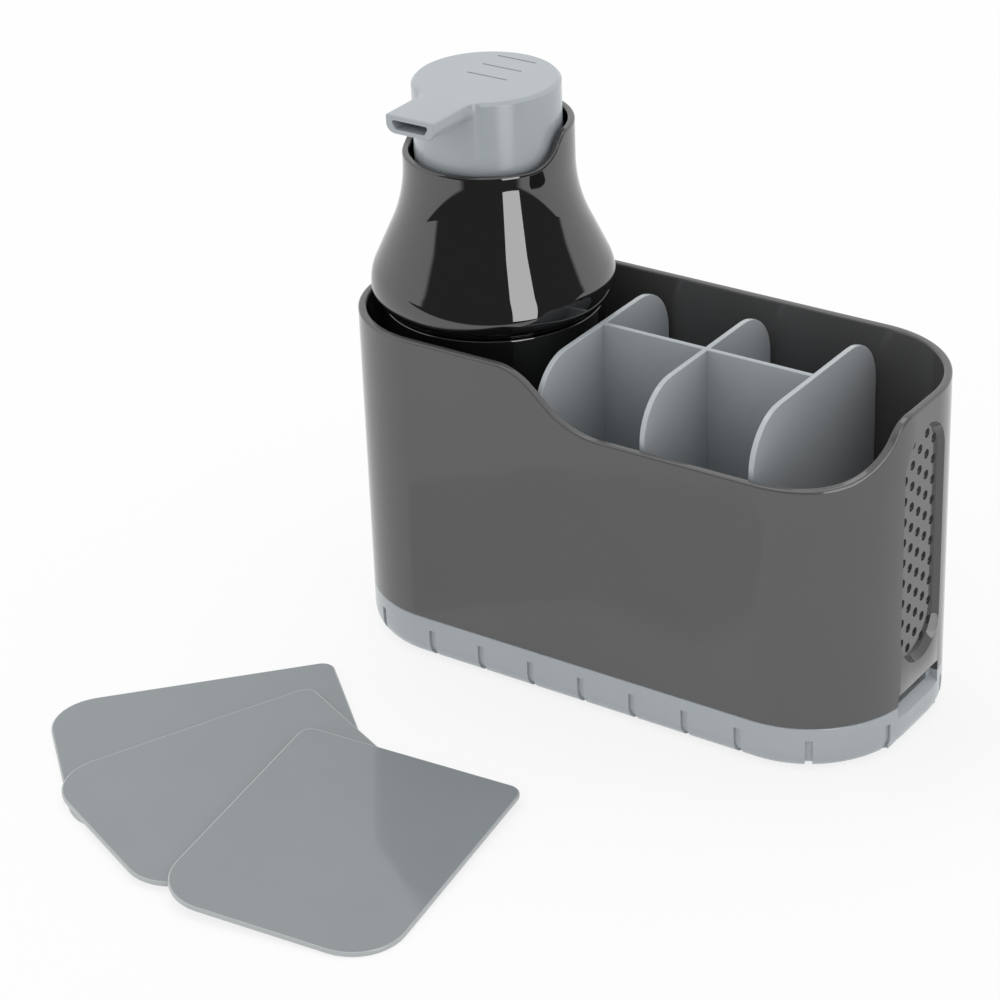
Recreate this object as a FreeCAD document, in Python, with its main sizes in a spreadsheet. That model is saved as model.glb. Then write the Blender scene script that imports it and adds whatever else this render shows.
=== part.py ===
import FreeCAD, Part
import math
import os
import Sketcher

# Soap pump caddy: a drip tray, an open caddy body with a divider insert, a bell bottle with a
# lotion pump, and the set's three loose plates lying fanned in front. Millimetres, +Z up, the
# origin on the table under the middle of the tray, +X toward the perforated end, -Y the front.

SIZES = {
    "overrun": 2.0,
    "touch_clearance": 0.02,
    "running_clearance": 0.06,
    "caddy_length": 217.4,
    "caddy_width": 95.0,
    "end_flat": 15.8,
    "caddy_wall": 3.0,
    "rim_height": 127.5,
    "rim_round": 0.9,
    "seam_round": 0.5,
    "dip_depth": 19.5,
    "dip_from_bottle": 31.3,
    "dip_angle": 42.0,
    "dip_top_radius": 21.0,
    "dip_foot_radius": 33.0,
    "climb_angle": 58.7,
    "climb_foot_radius": 31.0,
    "floor_thickness": 2.5,
    "skirt_depth": 3.0,
    "drain_radius": 2.5,
    "drain_side": 15.0,
    "seat_height": 6.0,
    "seat_wall": 1.6,
    "panel_width": 29.2,
    "panel_foot_gap": 13.4,
    "panel_top_gap": 8.0,
    "panel_recess": 2.6,
    "panel_thickness": 2.2,
    "panel_margin": 2.0,
    "hole_radius": 1.4,
    "hole_column_pitch": 4.9,
    "hole_row_pitch": 7.8,
    "hole_end_margin": 5.0,
    "grip_width": 29.0,
    "grip_depth": 3.4,
    "grip_height": 5.0,
    "grip_slit_width": 23.0,
    "grip_slit_height": 1.8,
    "tray_height": 17.1,
    "tray_floor": 3.5,
    "tray_foot_round": 7.0,
    "tray_lip_height": 2.4,
    "tray_lip_thickness": 1.6,
    "tray_lip_clearance": 0.4,
    "tray_ledge_drop": 4.6,
    "tray_ledge_slope": 2.0,
    "tray_block_thickness": 2.4,
    "tray_block_margin": 3.0,
    "notch_width": 2.6,
    "notch_depth": 1.0,
    "notch_height": 12.3,
    "notch_reach": 9.0,
    "notch_pitch": 21.25,
    "notch_near_angle": 30.0,
    "notch_far_angle": 73.0,
    "divider_thickness": 2.0,
    "divider_side_gap": 2.0,
    "divider_rim_gap": 0.5,
    "divider_bell_gap": 1.1,
    "divider_end_gap": 3.1,
    "divider_top_round": 18.5,
    "divider_foot_round": 5.0,
    "reservoir_end_gap": 2.4,
    "reservoir_side_gap": 5.0,
    "reservoir_wall": 2.2,
    "reservoir_floor": 2.4,
    "reservoir_foot_round": 4.0,
    "reservoir_clearance": 0.4,
    "bell_gap": 0.4,
    "bell_overhang": 4.0,
    "bell_wall": 2.4,
    "bell_foot_round": 7.0,
    "bell_turn_angle": 25.0,
    "bell_turn_radius": 19.0,
    "bell_sweep_radius": 55.6,
    "bell_taper": 13.3,
    "collar_rise": 14.54,
    "collar_wall": 2.6,
    "collar_round": 0.8,
    "scoop_depth": 10.3,
    "scoop_back": 5.4,
    "scoop_angle": 54.5,
    "scoop_radius": 17.0,
    "plug_depth": 12.0,
    "plug_wall": 4.2,
    "plug_clearance": 0.45,
    "ring_wire_radius": 1.2,
    "ring_clearance": 0.05,
    "ring_drop": 6.5,
    "deck_drop": 16.96,
    "deck_thickness": 2.4,
    "neck_radius": 15.0,
    "neck_wall": 2.2,
    "neck_height": 8.0,
    "gasket_thickness": 1.0,
    "flange_thickness": 2.0,
    "barrel_bore": 9.0,
    "barrel_wall": 1.5,
    "barrel_length": 45.0,
    "valve_radius": 4.4,
    "valve_drop": 6.0,
    "spigot_length": 9.0,
    "spigot_wall": 1.2,
    "tube_radius": 3.0,
    "tube_bore": 2.0,
    "tube_floor_gap": 2.5,
    "tube_seat": 6.0,
    "ball_radius": 3.4,
    "guide_flange": 1.0,
    "guide_depth": 12.0,
    "guide_rise": 4.5,
    "closure_wall": 3.2,
    "closure_lip": 2.5,
    "closure_clearance": 0.3,
    "closure_foot_gap": 1.0,
    "stem_radius": 6.0,
    "stem_bore": 3.2,
    "stop_gap": 0.3,
    "piston_height": 7.0,
    "peg_length": 5.0,
    "peg_foot": 4.0,
    "peg_foot_gap": 0.8,
    "spring_gap": 1.8,
    "spring_wire_radius": 0.6,
    "spring_turns": 5.0,
    "head_rise": 15.1,
    "head_gap": 1.6,
    "head_plate": 2.4,
    "head_wall": 2.0,
    "head_round": 2.2,
    "head_skirt_drop": 31.5,
    "boss_wall": 3.0,
    "boss_length": 14.5,
    "boss_seat": 4.4,
    "spout_overhang": 19.6,
    "spout_width": 20.0,
    "spout_height": 6.6,
    "spout_foot_round": 3.6,
    "spout_round": 0.7,
    "spout_roof": 1.7,
    "slot_width": 13.4,
    "slot_foot_width": 10.4,
    "slot_height": 3.0,
    "groove_length": 16.0,
    "groove_width": 0.8,
    "groove_depth": 0.5,
    "groove_first": 0.6,
    "groove_pitch": 9.3,
    "plate_thickness": 1.8,
    "back_plate_across": -97.2,
    "back_plate_along": -136.3,
    "back_plate_turn": -42.2,
    "middle_plate_across": -70.8,
    "middle_plate_along": -154.4,
    "middle_plate_turn": -24.3,
    "front_plate_across": -19.8,
    "front_plate_along": -163.7,
    "front_plate_turn": 7.6,
    "front_plate_pitch_run": 37.7,
    "front_plate_roll_run": 60.8,
}

# Where the floor's drains lie along the divider insert, in divider pitches from its first wall.
DRAIN_PITCH_SHARES = (0.25, 0.75, 1.25, 1.75, 2.3)
# How high the front plate's middle lies, in plate thicknesses, leaning on the plate beneath.
FRONT_PLATE_LIFT_SHARE = 1.79
# A face whose normal rises less than this share of its length counts as upright.
UPRIGHT_SHARE = 0.01


class Size:
    """A number together with the sheet expression that gives it."""

    def __init__(self, number, text):
        self.number = number
        self.text = text

    def __add__(self, other):
        return joined(self, other, "+", lambda a, b: a + b)

    def __radd__(self, other):
        return joined(other, self, "+", lambda a, b: a + b)

    def __sub__(self, other):
        return joined(self, other, "-", lambda a, b: a - b)

    def __rsub__(self, other):
        return joined(other, self, "-", lambda a, b: a - b)

    def __mul__(self, other):
        return joined(self, other, "*", lambda a, b: a * b)

    def __rmul__(self, other):
        return joined(other, self, "*", lambda a, b: a * b)

    def __truediv__(self, other):
        return joined(self, other, "/", lambda a, b: a / b)

    def __neg__(self):
        return Size(-self.number, "(0 - " + self.text + ")")


def as_size(value):
    return value if isinstance(value, Size) else Size(float(value), repr(value))


def joined(first, second, sign, rule):
    first, second = as_size(first), as_size(second)
    text = "(" + first.text + " " + sign + " " + second.text + ")"
    return Size(rule(first.number, second.number), text)


def sine(angle):
    return Size(math.sin(math.radians(angle.number)), "sin(" + angle.text + " * 1 deg)")


def cosine(angle):
    return Size(math.cos(math.radians(angle.number)), "cos(" + angle.text + " * 1 deg)")


def root(value):
    return Size(math.sqrt(value.number), "sqrt(" + value.text + ")")


doc = FreeCAD.newDocument("soap_pump_caddy")
sheet = doc.addObject("Spreadsheet::Sheet", "sizes")
for row, (alias, number) in enumerate(SIZES.items(), start=1):
    sheet.set("A%d" % row, alias)
    sheet.set("B%d" % row, str(number))
    sheet.setAlias("B%d" % row, alias)
doc.recompute()


def size(alias):
    return Size(float(sheet.get(alias)), "sizes." + alias)


# Sketches and features

def new_body(name):
    body = doc.addObject("PartDesign::Body", name)
    body.Label = name
    return body


def place(piece, across=0, along=0, up=0):
    for axis, value in (("x", across), ("y", along), ("z", up)):
        if isinstance(value, Size):
            piece.setExpression("Placement.Base." + axis, value.text)


def new_sketch(body, name, role, offset=0):
    sketch = body.newObject("Sketcher::SketchObject", name)
    plane = [part for part in body.Origin.OriginFeatures if part.Role == role][0]
    sketch.AttachmentSupport = [(plane, "")]
    sketch.MapMode = "FlatFace"
    if isinstance(offset, Size):
        sketch.setExpression("AttachmentOffset.Base.z", offset.text)
    return sketch


def hold(sketch, kind, references, value):
    """Add one dimension to a sketch and bind it to the sheet."""
    value = as_size(value)
    index = sketch.addConstraint(Sketcher.Constraint(kind, *references, value.number))
    sketch.setExpression("Constraints[%d]" % index, value.text)


def hold_point(sketch, curve, end, across, up):
    """Fix a point of a curve at its distances from the sketch's origin."""
    for kind, axis_line, value in (("DistanceX", -2, across), ("DistanceY", -1, up)):
        value = as_size(value)
        if value.number > 0:
            hold(sketch, kind, (-1, 1, curve, end), value)
        elif value.number < 0:
            hold(sketch, kind, (curve, end, -1, 1), -value)
        else:
            sketch.addConstraint(Sketcher.Constraint("PointOnObject", curve, end, axis_line))


def arc_between(start, finish, radius, turn):
    """The arc under a half turn from start to finish; turn 1 goes left, -1 goes right."""
    chord = finish - start
    middle = (start + finish) * 0.5
    aside = FreeCAD.Vector(-chord.y, chord.x, 0).normalize() * turn
    reach = math.sqrt(max(radius ** 2 - (chord.Length / 2) ** 2, 0))
    centre = middle + aside * reach
    first, last = (start, finish) if turn > 0 else (finish, start)
    angles = [math.atan2(point.y - centre.y, point.x - centre.x) for point in (first, last)]
    circle = Part.Circle(centre, FreeCAD.Vector(0, 0, 1), radius)
    return Part.ArcOfCircle(circle, angles[0], angles[1])


def draw_loop(sketch, corners):
    """A closed outline. A corner is (across, up), or (across, up, radius, turn) before an arc."""
    points = [FreeCAD.Vector(as_size(c[0]).number, as_size(c[1]).number, 0) for c in corners]
    curves = []
    for index, corner in enumerate(corners):
        start, finish = points[index], points[(index + 1) % len(points)]
        if len(corner) == 2:
            curve = sketch.addGeometry(Part.LineSegment(start, finish), False)
            curves.append((curve, 1, 2))
        else:
            radius, turn = as_size(corner[2]), corner[3]
            curve = sketch.addGeometry(arc_between(start, finish, radius.number, turn), False)
            curves.append((curve, 1, 2) if turn > 0 else (curve, 2, 1))
    for index, (curve, start_end, finish_end) in enumerate(curves):
        after, after_start, _ = curves[(index + 1) % len(curves)]
        joint = Sketcher.Constraint("Coincident", curve, finish_end, after, after_start)
        sketch.addConstraint(joint)
    for (curve, start_end, finish_end), corner in zip(curves, corners):
        hold_point(sketch, curve, start_end, corner[0], corner[1])
        if len(corner) > 2:
            hold(sketch, "Radius", (curve,), corner[2])


def draw_circle(sketch, across, up, radius):
    centre = FreeCAD.Vector(as_size(across).number, as_size(up).number, 0)
    circle = Part.Circle(centre, FreeCAD.Vector(0, 0, 1), radius.number)
    curve = sketch.addGeometry(circle, False)
    hold_point(sketch, curve, 3, across, up)
    hold(sketch, "Radius", (curve,), radius)


def rounded_box(half_length, half_width, radius):
    """Outline of a rectangle round the sketch's origin with four equal round corners."""
    flat_x, flat_y = half_length - radius, half_width - radius
    return [
        (-flat_x, -half_width), (flat_x, -half_width, radius, 1),
        (half_length, -flat_y), (half_length, flat_y, radius, 1),
        (flat_x, half_width), (-flat_x, half_width, radius, 1),
        (-half_length, flat_y), (-half_length, -flat_y, radius, 1),
    ]


def stadium(half_width, foot, top):
    """Upright outline with half-round ends, each end in two quarter turns."""
    low, high = foot + half_width, top - half_width
    return [
        (0, foot, half_width, 1), (half_width, low), (half_width, high, half_width, 1),
        (0, top, half_width, 1), (-half_width, high), (-half_width, low, half_width, 1),
    ]


def feature(body, kind, name, sketch, length, reverse=False, both=False):
    made = body.newObject("PartDesign::" + kind, name)
    made.Profile = sketch
    made.Reversed = reverse
    made.Midplane = both
    made.setExpression("Length", length.text)
    return made


def turned(body, name, corners):
    """Turn an upright half outline, (radius, height), once round the body's Z axis."""
    sketch = new_sketch(body, name + "_outline", "XZ_Plane")
    draw_loop(sketch, corners)
    made = body.newObject("PartDesign::Revolution", name)
    made.Profile = sketch
    made.ReferenceAxis = (sketch, ["V_Axis"])
    made.Angle = 360
    return made


def ring(inner, outer, foot, top):
    return [(inner, foot), (outer, foot), (outer, top), (inner, top)]


def rounded_edges(body, name, base, keep, radius):
    """Round every edge of the base feature that keep() accepts."""
    doc.recompute()
    names = ["Edge%d" % (i + 1) for i, edge in enumerate(base.Shape.Edges) if keep(edge)]
    made = body.newObject("PartDesign::Fillet", name)
    made.Base = (base, names)
    made.setExpression("Radius", radius.text)
    return made


def slope_of(face):
    """The upward part of a face's normal at its middle, 0 on an upright face."""
    low_u, high_u, low_v, high_v = face.ParameterRange
    return face.normalAt((low_u + high_u) / 2, (low_v + high_v) / 2).z


def soften_rim(body, name, base, lowest, radius):
    """Round both edges of a rim, the edges above lowest that bound just one upright face."""
    doc.recompute()
    upright = [face for face in base.Shape.Faces if abs(slope_of(face)) < UPRIGHT_SHARE]

    def on_rim(edge):
        owners = [face for face in upright if any(e.isSame(edge) for e in face.Edges)]
        return edge.BoundBox.ZMin > (lowest - radius).number and len(owners) == 1

    rounded_edges(body, name, base, on_rim, radius)


# Shared sizes

overrun = size("overrun")
touch = size("touch_clearance")
running = size("running_clearance")
half_length = size("caddy_length") / 2
half_width = size("caddy_width") / 2
corner_y = size("end_flat") / 2
corner = half_width - corner_y
corner_x = half_length - corner
wall = size("caddy_wall")
tray_top = size("tray_height")
floor_top = tray_top + size("skirt_depth") + size("floor_thickness")
rim = size("rim_height")
grip_face = half_length - size("grip_depth")
grip_block = size("grip_width") / 2 + size("tray_block_margin")

reservoir_radius = half_width - wall - size("reservoir_side_gap")
reservoir_bore = reservoir_radius - size("reservoir_wall")
bottle_x = wall + size("reservoir_end_gap") + reservoir_radius - half_length
bell_radius = reservoir_radius + size("bell_overhang")
bell_foot = rim + size("bell_gap")
collar_radius = bell_radius - size("bell_taper")

divider_thickness = size("divider_thickness")
divider_width = (half_width - wall - size("divider_side_gap")) * 2
divider_top = rim - size("divider_rim_gap")
divider_first = bottle_x + bell_radius + size("divider_bell_gap") + divider_thickness / 2
divider_pitch = (corner_x - size("divider_end_gap") - divider_first) / 2


# Drip tray

def make_drip_tray():
    body = new_body("drip_tray")
    outline = new_sketch(body, "tray_outline", "XY_Plane")
    draw_loop(outline, rounded_box(half_length, half_width, corner))
    block = feature(body, "Pad", "tray_block", outline, tray_top)
    middle = tray_top.number / 2
    foot = rounded_edges(body, "tray_foot", block, lambda edge: edge.BoundBox.ZMax < middle,
                         size("tray_foot_round"))
    rounded_edges(body, "tray_seam", foot, lambda edge: edge.BoundBox.ZMin > middle,
                  size("seam_round"))
    lip_outer = wall + size("tray_lip_clearance")
    tray_wall = lip_outer + size("tray_lip_thickness")
    inner = rounded_box(half_length - tray_wall, half_width - tray_wall, corner - tray_wall)
    inside = new_sketch(body, "tray_inside", "XY_Plane", tray_top)
    draw_loop(inside, inner)
    feature(body, "Pocket", "tray_hollow", inside, tray_top - size("tray_floor"))
    lip = new_sketch(body, "lip_outline", "XY_Plane", tray_top)
    draw_loop(lip, rounded_box(half_length - lip_outer, half_width - lip_outer,
                               corner - lip_outer))
    draw_loop(lip, inner)
    feature(body, "Pad", "tray_lip", lip, size("tray_lip_height"))
    make_tray_pocket(body, half_length - tray_wall)
    make_tray_notches(body)
    return body


def make_tray_pocket(body, inner_face):
    """The thumb pocket at the right end: a gap in the lip, a block behind, a sloping ledge."""
    gap = new_sketch(body, "lip_gap_outline", "XY_Plane", tray_top)
    draw_loop(gap, [(corner_x, -grip_block), (half_length, -grip_block),
                    (half_length, grip_block), (corner_x, grip_block)])
    feature(body, "Pocket", "lip_gap", gap, size("tray_lip_height") + overrun, reverse=True)
    back = grip_face - size("tray_block_thickness")
    join = inner_face + size("tray_lip_thickness") / 2
    block = new_sketch(body, "pocket_block_outline", "XY_Plane", size("tray_floor"))
    draw_loop(block, [(back, -grip_block), (join, -grip_block), (join, grip_block),
                      (back, grip_block)])
    feature(body, "Pad", "pocket_block", block, tray_top - size("tray_floor"))
    ledge = tray_top - size("tray_ledge_drop")
    lower = ledge - size("tray_ledge_slope")
    outline = new_sketch(body, "pocket_outline", "XZ_Plane")
    draw_loop(outline, [(grip_face, ledge), (half_length, lower), (half_length + overrun, lower),
                        (half_length + overrun, tray_top + overrun),
                        (grip_face, tray_top + overrun)])
    feature(body, "Pocket", "thumb_pocket", outline, size("grip_width"), both=True)


def make_tray_notches(body):
    """Upright notches that run down the side and under the rounded foot."""
    places = []
    pitch = size("notch_pitch")
    steps = int(corner_x.number / pitch.number)
    for step in range(-steps, steps + 1):
        for side in (-1, 1):
            places.append((pitch * step, corner_y * side, as_size(90 * side)))
    for turn in (size("notch_near_angle"), size("notch_far_angle")):
        for end in (-1, 1):
            for side in (-1, 1):
                places.append((corner_x * end, corner_y * side, (90 - turn * end) * side))
    for index, (across, along, turn) in enumerate(places):
        cut_notch(body, "notch_%02d" % index, across, along, turn)


def cut_notch(body, name, across, along, turn):
    """One notch, drawn in the upright plane that leaves the corner's axis at the given turn."""
    depth, foot = size("notch_depth"), size("tray_foot_round")
    quarter = corner - foot
    inner = quarter - size("notch_reach")
    sketch = new_sketch(body, name + "_outline", "XZ_Plane", -along)
    sketch.AttachmentOffset = FreeCAD.Placement(
        FreeCAD.Vector(), FreeCAD.Rotation(FreeCAD.Vector(0, 1, 0), turn.number))
    sketch.setExpression("AttachmentOffset.Base.x", across.text)
    draw_loop(sketch, [(inner, -overrun), (corner + overrun, -overrun),
                       (corner + overrun, size("notch_height")),
                       (corner - depth, size("notch_height")),
                       (corner - depth, foot, foot - depth, -1),
                       (quarter, depth), (inner, depth)])
    feature(body, "Pocket", name, sketch, size("notch_width"), both=True)


# Caddy body

def make_caddy_body():
    body = new_body("caddy_body")
    outline = new_sketch(body, "caddy_outline", "XY_Plane", tray_top)
    draw_loop(outline, rounded_box(half_length, half_width, corner))
    block = feature(body, "Pad", "caddy_block", outline, rim - tray_top)
    rounded_edges(body, "caddy_seam", block, lambda edge: edge.BoundBox.ZMax < floor_top.number,
                  size("seam_round"))
    inner = rounded_box(half_length - wall, half_width - wall, corner - wall)
    inside = new_sketch(body, "caddy_inside", "XY_Plane", rim)
    draw_loop(inside, inner)
    feature(body, "Pocket", "caddy_hollow", inside, rim - floor_top)
    under = new_sketch(body, "caddy_underside", "XY_Plane", tray_top)
    draw_loop(under, inner)
    feature(body, "Pocket", "caddy_skirt", under, size("skirt_depth"), reverse=True)
    cut_front_dip(body)
    soften_rim(body, "rim_rounding", cut_corner_climb(body), dip_height, size("rim_round"))
    make_end_panel(body)
    make_bottle_seat(body)
    cut_drains(body)
    cut_grip(body)
    return body


dip_depth = size("dip_depth")
dip_height = rim - dip_depth


def cut_front_dip(body):
    """The front rim falls from full height in two tangent arcs with a straight run between."""
    angle = size("dip_angle")
    top, foot = size("dip_top_radius"), size("dip_foot_radius")
    run = (dip_depth - (top + foot) * (1 - cosine(angle))) / sine(angle)
    start = bottle_x + size("dip_from_bottle")
    first_x = start + top * sine(angle)
    first_z = rim - top * (1 - cosine(angle))
    second_x = first_x + run * cosine(angle)
    second_z = first_z - run * sine(angle)
    foot_x = second_x + foot * sine(angle)
    outline = new_sketch(body, "dip_outline", "XZ_Plane", half_width - wall - overrun)
    draw_loop(outline, [(start, rim, top, -1), (first_x, first_z), (second_x, second_z, foot, 1),
                        (foot_x, dip_height), (corner_x, dip_height), (corner_x, rim + overrun),
                        (start, rim + overrun)])
    feature(body, "Pocket", "front_dip", outline, wall + overrun * 2, reverse=True)


def cut_corner_climb(body):
    """Round the front right corner the low rim climbs back to full height."""
    angle, foot = size("climb_angle"), size("climb_foot_radius")
    top = dip_depth / (1 - cosine(angle)) - foot
    start = wall - half_width
    turn_y = start + foot * sine(angle)
    turn_z = dip_height + foot * (1 - cosine(angle))
    finish = turn_y + top * sine(angle)
    front = -half_width - overrun
    outline = new_sketch(body, "climb_outline", "YZ_Plane", corner_x)
    draw_loop(outline, [(front, dip_height), (start, dip_height, foot, 1),
                        (turn_y, turn_z, top, -1), (finish, rim), (finish, rim + overrun),
                        (front, rim + overrun)])
    return feature(body, "Pocket", "corner_climb", outline, corner + overrun, reverse=True)


def make_end_panel(body):
    """The recessed stadium panel at the right end with its staggered holes."""
    half, margin = size("panel_width") / 2, size("panel_margin")
    foot, top = tray_top + size("panel_foot_gap"), rim - size("panel_top_gap")
    face = half_length - size("panel_recess")
    back = new_sketch(body, "panel_back_outline", "YZ_Plane", face - size("panel_thickness"))
    draw_loop(back, stadium(half + margin, foot - margin, top + margin))
    feature(body, "Pad", "panel_back", back, size("panel_thickness"))
    recess = new_sketch(body, "panel_recess_outline", "YZ_Plane", face)
    draw_loop(recess, stadium(half, foot, top))
    feature(body, "Pocket", "panel_front", recess, size("panel_recess") + overrun, reverse=True)
    holes = new_sketch(body, "panel_hole_outline", "YZ_Plane", face)
    pitch = size("hole_row_pitch")
    most = 1 + int((top - foot - size("hole_end_margin") * 2).number / pitch.number)
    for column in range(-2, 3):
        rows = most if column % 2 else most - 1
        for row in range(rows):
            height = (foot + top) / 2 + pitch * (row - (rows - 1) / 2)
            draw_circle(holes, size("hole_column_pitch") * column, height, size("hole_radius"))
    feature(body, "Pocket", "panel_holes", holes, size("panel_thickness") + overrun)


def make_bottle_seat(body):
    """A low ring on the floor that keeps the reservoir upright."""
    bore = reservoir_radius + size("reservoir_clearance")
    seat = new_sketch(body, "seat_outline", "XY_Plane", floor_top)
    draw_circle(seat, bottle_x, 0, bore)
    draw_circle(seat, bottle_x, 0, bore + size("seat_wall"))
    feature(body, "Pad", "bottle_seat", seat, size("seat_height"))


def cut_drains(body):
    drains = new_sketch(body, "drain_outline", "XY_Plane", floor_top)
    for share in DRAIN_PITCH_SHARES:
        for side in (-1, 1):
            draw_circle(drains, divider_first + divider_pitch * share,
                        size("drain_side") * side, size("drain_radius"))
    feature(body, "Pocket", "drains", drains, size("floor_thickness") + overrun)


def cut_grip(body):
    """The slanted thumb recess above the tray's pocket, with the open slit at its foot."""
    outside = half_length + overrun
    bevel_top = tray_top + size("grip_height")
    bevel = new_sketch(body, "grip_outline", "XZ_Plane")
    draw_loop(bevel, [(grip_face, tray_top), (outside, tray_top), (outside, bevel_top),
                      (half_length, bevel_top)])
    feature(body, "Pocket", "grip_bevel", bevel, size("grip_width"), both=True)
    slit_top = tray_top + size("grip_slit_height")
    slit = new_sketch(body, "slit_outline", "XZ_Plane")
    draw_loop(slit, [(grip_face - wall, tray_top), (outside, tray_top), (outside, slit_top),
                     (grip_face - wall, slit_top)])
    feature(body, "Pocket", "grip_slit", slit, size("grip_slit_width"), both=True)


# Divider insert and loose plates

def plate_outline(foot, top, foot_round, top_round):
    """A divider wall's outline: two small corners at its foot and two large ones at its top."""
    half = divider_width / 2
    return [
        (foot_round - half, foot), (half - foot_round, foot, foot_round, 1),
        (half, foot + foot_round), (half, top - top_round, top_round, 1),
        (half - top_round, top), (top_round - half, top, top_round, 1),
        (-half, top - top_round), (-half, foot + foot_round, foot_round, 1),
    ]


def make_divider_insert():
    body = new_body("divider_insert")
    last = divider_first + divider_pitch * 2
    spine = new_sketch(body, "spine_outline", "XZ_Plane")
    draw_loop(spine, [(divider_first, floor_top), (last, floor_top), (last, divider_top),
                      (divider_first, divider_top)])
    feature(body, "Pad", "spine", spine, divider_thickness, both=True)
    for step in range(3):
        cross = new_sketch(body, "cross_outline_%d" % step, "YZ_Plane",
                           divider_first + divider_pitch * step)
        draw_loop(cross, plate_outline(floor_top, divider_top, size("divider_foot_round"),
                                       size("divider_top_round")))
        feature(body, "Pad", "cross_wall_%d" % step, cross, divider_thickness, both=True)
    return body


def make_loose_plate(name, lift, pitch=0, roll=0):
    """A flat plate with a cross wall's outline, lying with its large corners toward -Y."""
    body = new_body("loose_plate_" + name)
    outline = new_sketch(body, name + "_plate_outline", "XY_Plane")
    half = (divider_top - floor_top) / 2
    draw_loop(outline, plate_outline(-half, half, size("divider_top_round"),
                                     size("divider_foot_round")))
    feature(body, "Pad", name + "_plate", outline, size("plate_thickness"))
    turn = size(name + "_plate_turn").number
    body.Placement = FreeCAD.Placement(FreeCAD.Vector(), FreeCAD.Rotation(turn, pitch, roll))
    place(body, size(name + "_plate_across"), size(name + "_plate_along"), lift)
    return body


def make_loose_plates():
    """The back plate lies flat, the middle one on it, and the front one leans on both."""
    thickness = size("plate_thickness")
    pitch, roll = [math.degrees(math.atan(thickness.number / size(run).number))
                   for run in ("front_plate_pitch_run", "front_plate_roll_run")]
    return [
        make_loose_plate("back", as_size(0)),
        make_loose_plate("middle", thickness + touch),
        make_loose_plate("front", thickness * FRONT_PLATE_LIFT_SHARE, pitch, roll),
    ]


# Bottle

def bell_points():
    """The bell's outer side as (radius, height): widest, turn's end, sweep's start and end."""
    angle = size("bell_turn_angle")
    turn, sweep = size("bell_turn_radius"), size("bell_sweep_radius")
    widest_z = bell_foot + size("bell_foot_round")
    turn_r = bell_radius - turn * (1 - cosine(angle))
    turn_z = widest_z + turn * sine(angle)
    sweep_r = collar_radius + sweep * (1 - cosine(angle))
    sweep_z = turn_z + (turn_r - sweep_r) * cosine(angle) / sine(angle)
    end_z = sweep_z + sweep * sine(angle)
    return [(bell_radius, widest_z), (turn_r, turn_z), (sweep_r, sweep_z), (collar_radius, end_z)]


bell_side = bell_points()
sweep_end_z = bell_side[-1][1]
collar_top = sweep_end_z + size("collar_rise")
deck_top = sweep_end_z - size("deck_drop")


def make_soap_reservoir():
    body = new_body("soap_reservoir")
    foot_round = size("reservoir_foot_round")
    inner_round = foot_round - size("reservoir_wall")
    floor = floor_top + size("reservoir_floor")
    turned(body, "reservoir_cup", [
        (0, floor_top), (reservoir_radius - foot_round, floor_top, foot_round, 1),
        (reservoir_radius, floor_top + foot_round), (reservoir_radius, rim),
        (reservoir_bore, rim), (reservoir_bore, floor + inner_round, inner_round, -1),
        (reservoir_bore - inner_round, floor), (0, floor)])
    place(body, bottle_x)
    return body


def make_bottle_bell():
    body = new_body("bottle_bell")
    widest, turn_end, sweep_start, sweep_end = bell_side
    skin, foot = size("bell_wall"), size("bell_foot_round")
    turn, sweep = size("bell_turn_radius"), size("bell_sweep_radius")
    angle = size("bell_turn_angle")
    in_r, in_z = skin * cosine(angle), skin * sine(angle)
    collar_bore = collar_radius - size("collar_wall")
    plug_radius = reservoir_bore - size("plug_clearance")
    plug_bore = plug_radius - size("plug_wall")
    plug_foot = bell_foot - size("plug_depth")
    ring_z = bell_foot - size("ring_drop")
    wire, slack = size("ring_wire_radius"), size("ring_clearance")
    ring_low, ring_high = ring_z - wire - slack, ring_z + wire + slack
    ring_floor = reservoir_bore - wire * 2 - slack * 2
    turned(body, "bell_shell", [
        (bell_radius - foot, bell_foot, foot, 1), (*widest, turn, 1), turn_end,
        (*sweep_start, sweep, -1), sweep_end,
        (collar_radius, collar_top), (collar_bore, collar_top), (collar_bore, sweep_end_z),
        (collar_radius - skin, sweep_end_z, sweep + skin, 1),
        (sweep_start[0] - in_r, sweep_start[1] - in_z),
        (turn_end[0] - in_r, turn_end[1] - in_z, turn - skin, -1),
        (bell_radius - skin, widest[1]), (bell_radius - skin, bell_foot + foot / 2),
        (bell_radius - foot, bell_foot + skin), (plug_bore, bell_foot + skin),
        (plug_bore, plug_foot), (plug_radius, plug_foot), (plug_radius, ring_low),
        (ring_floor, ring_low), (ring_floor, ring_high), (plug_radius, ring_high),
        (plug_radius, bell_foot)])
    make_deck(body)
    scoop_collar(body)
    place(body, bottle_x)
    return body


def make_deck(body):
    """The deck across the bell's throat with the neck that carries the pump."""
    under = deck_top - size("deck_thickness")
    sweep, below = size("bell_sweep_radius"), size("deck_drop")
    throat = collar_radius + sweep - root(sweep * sweep - below * below)
    edge = throat - size("bell_wall") / 2
    neck, neck_top = size("neck_radius"), deck_top + size("neck_height")
    bore = neck - size("neck_wall")
    turned(body, "deck", [(bore, under), (edge, under), (edge, deck_top), (neck, deck_top),
                          (neck, neck_top), (bore, neck_top)])


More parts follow.
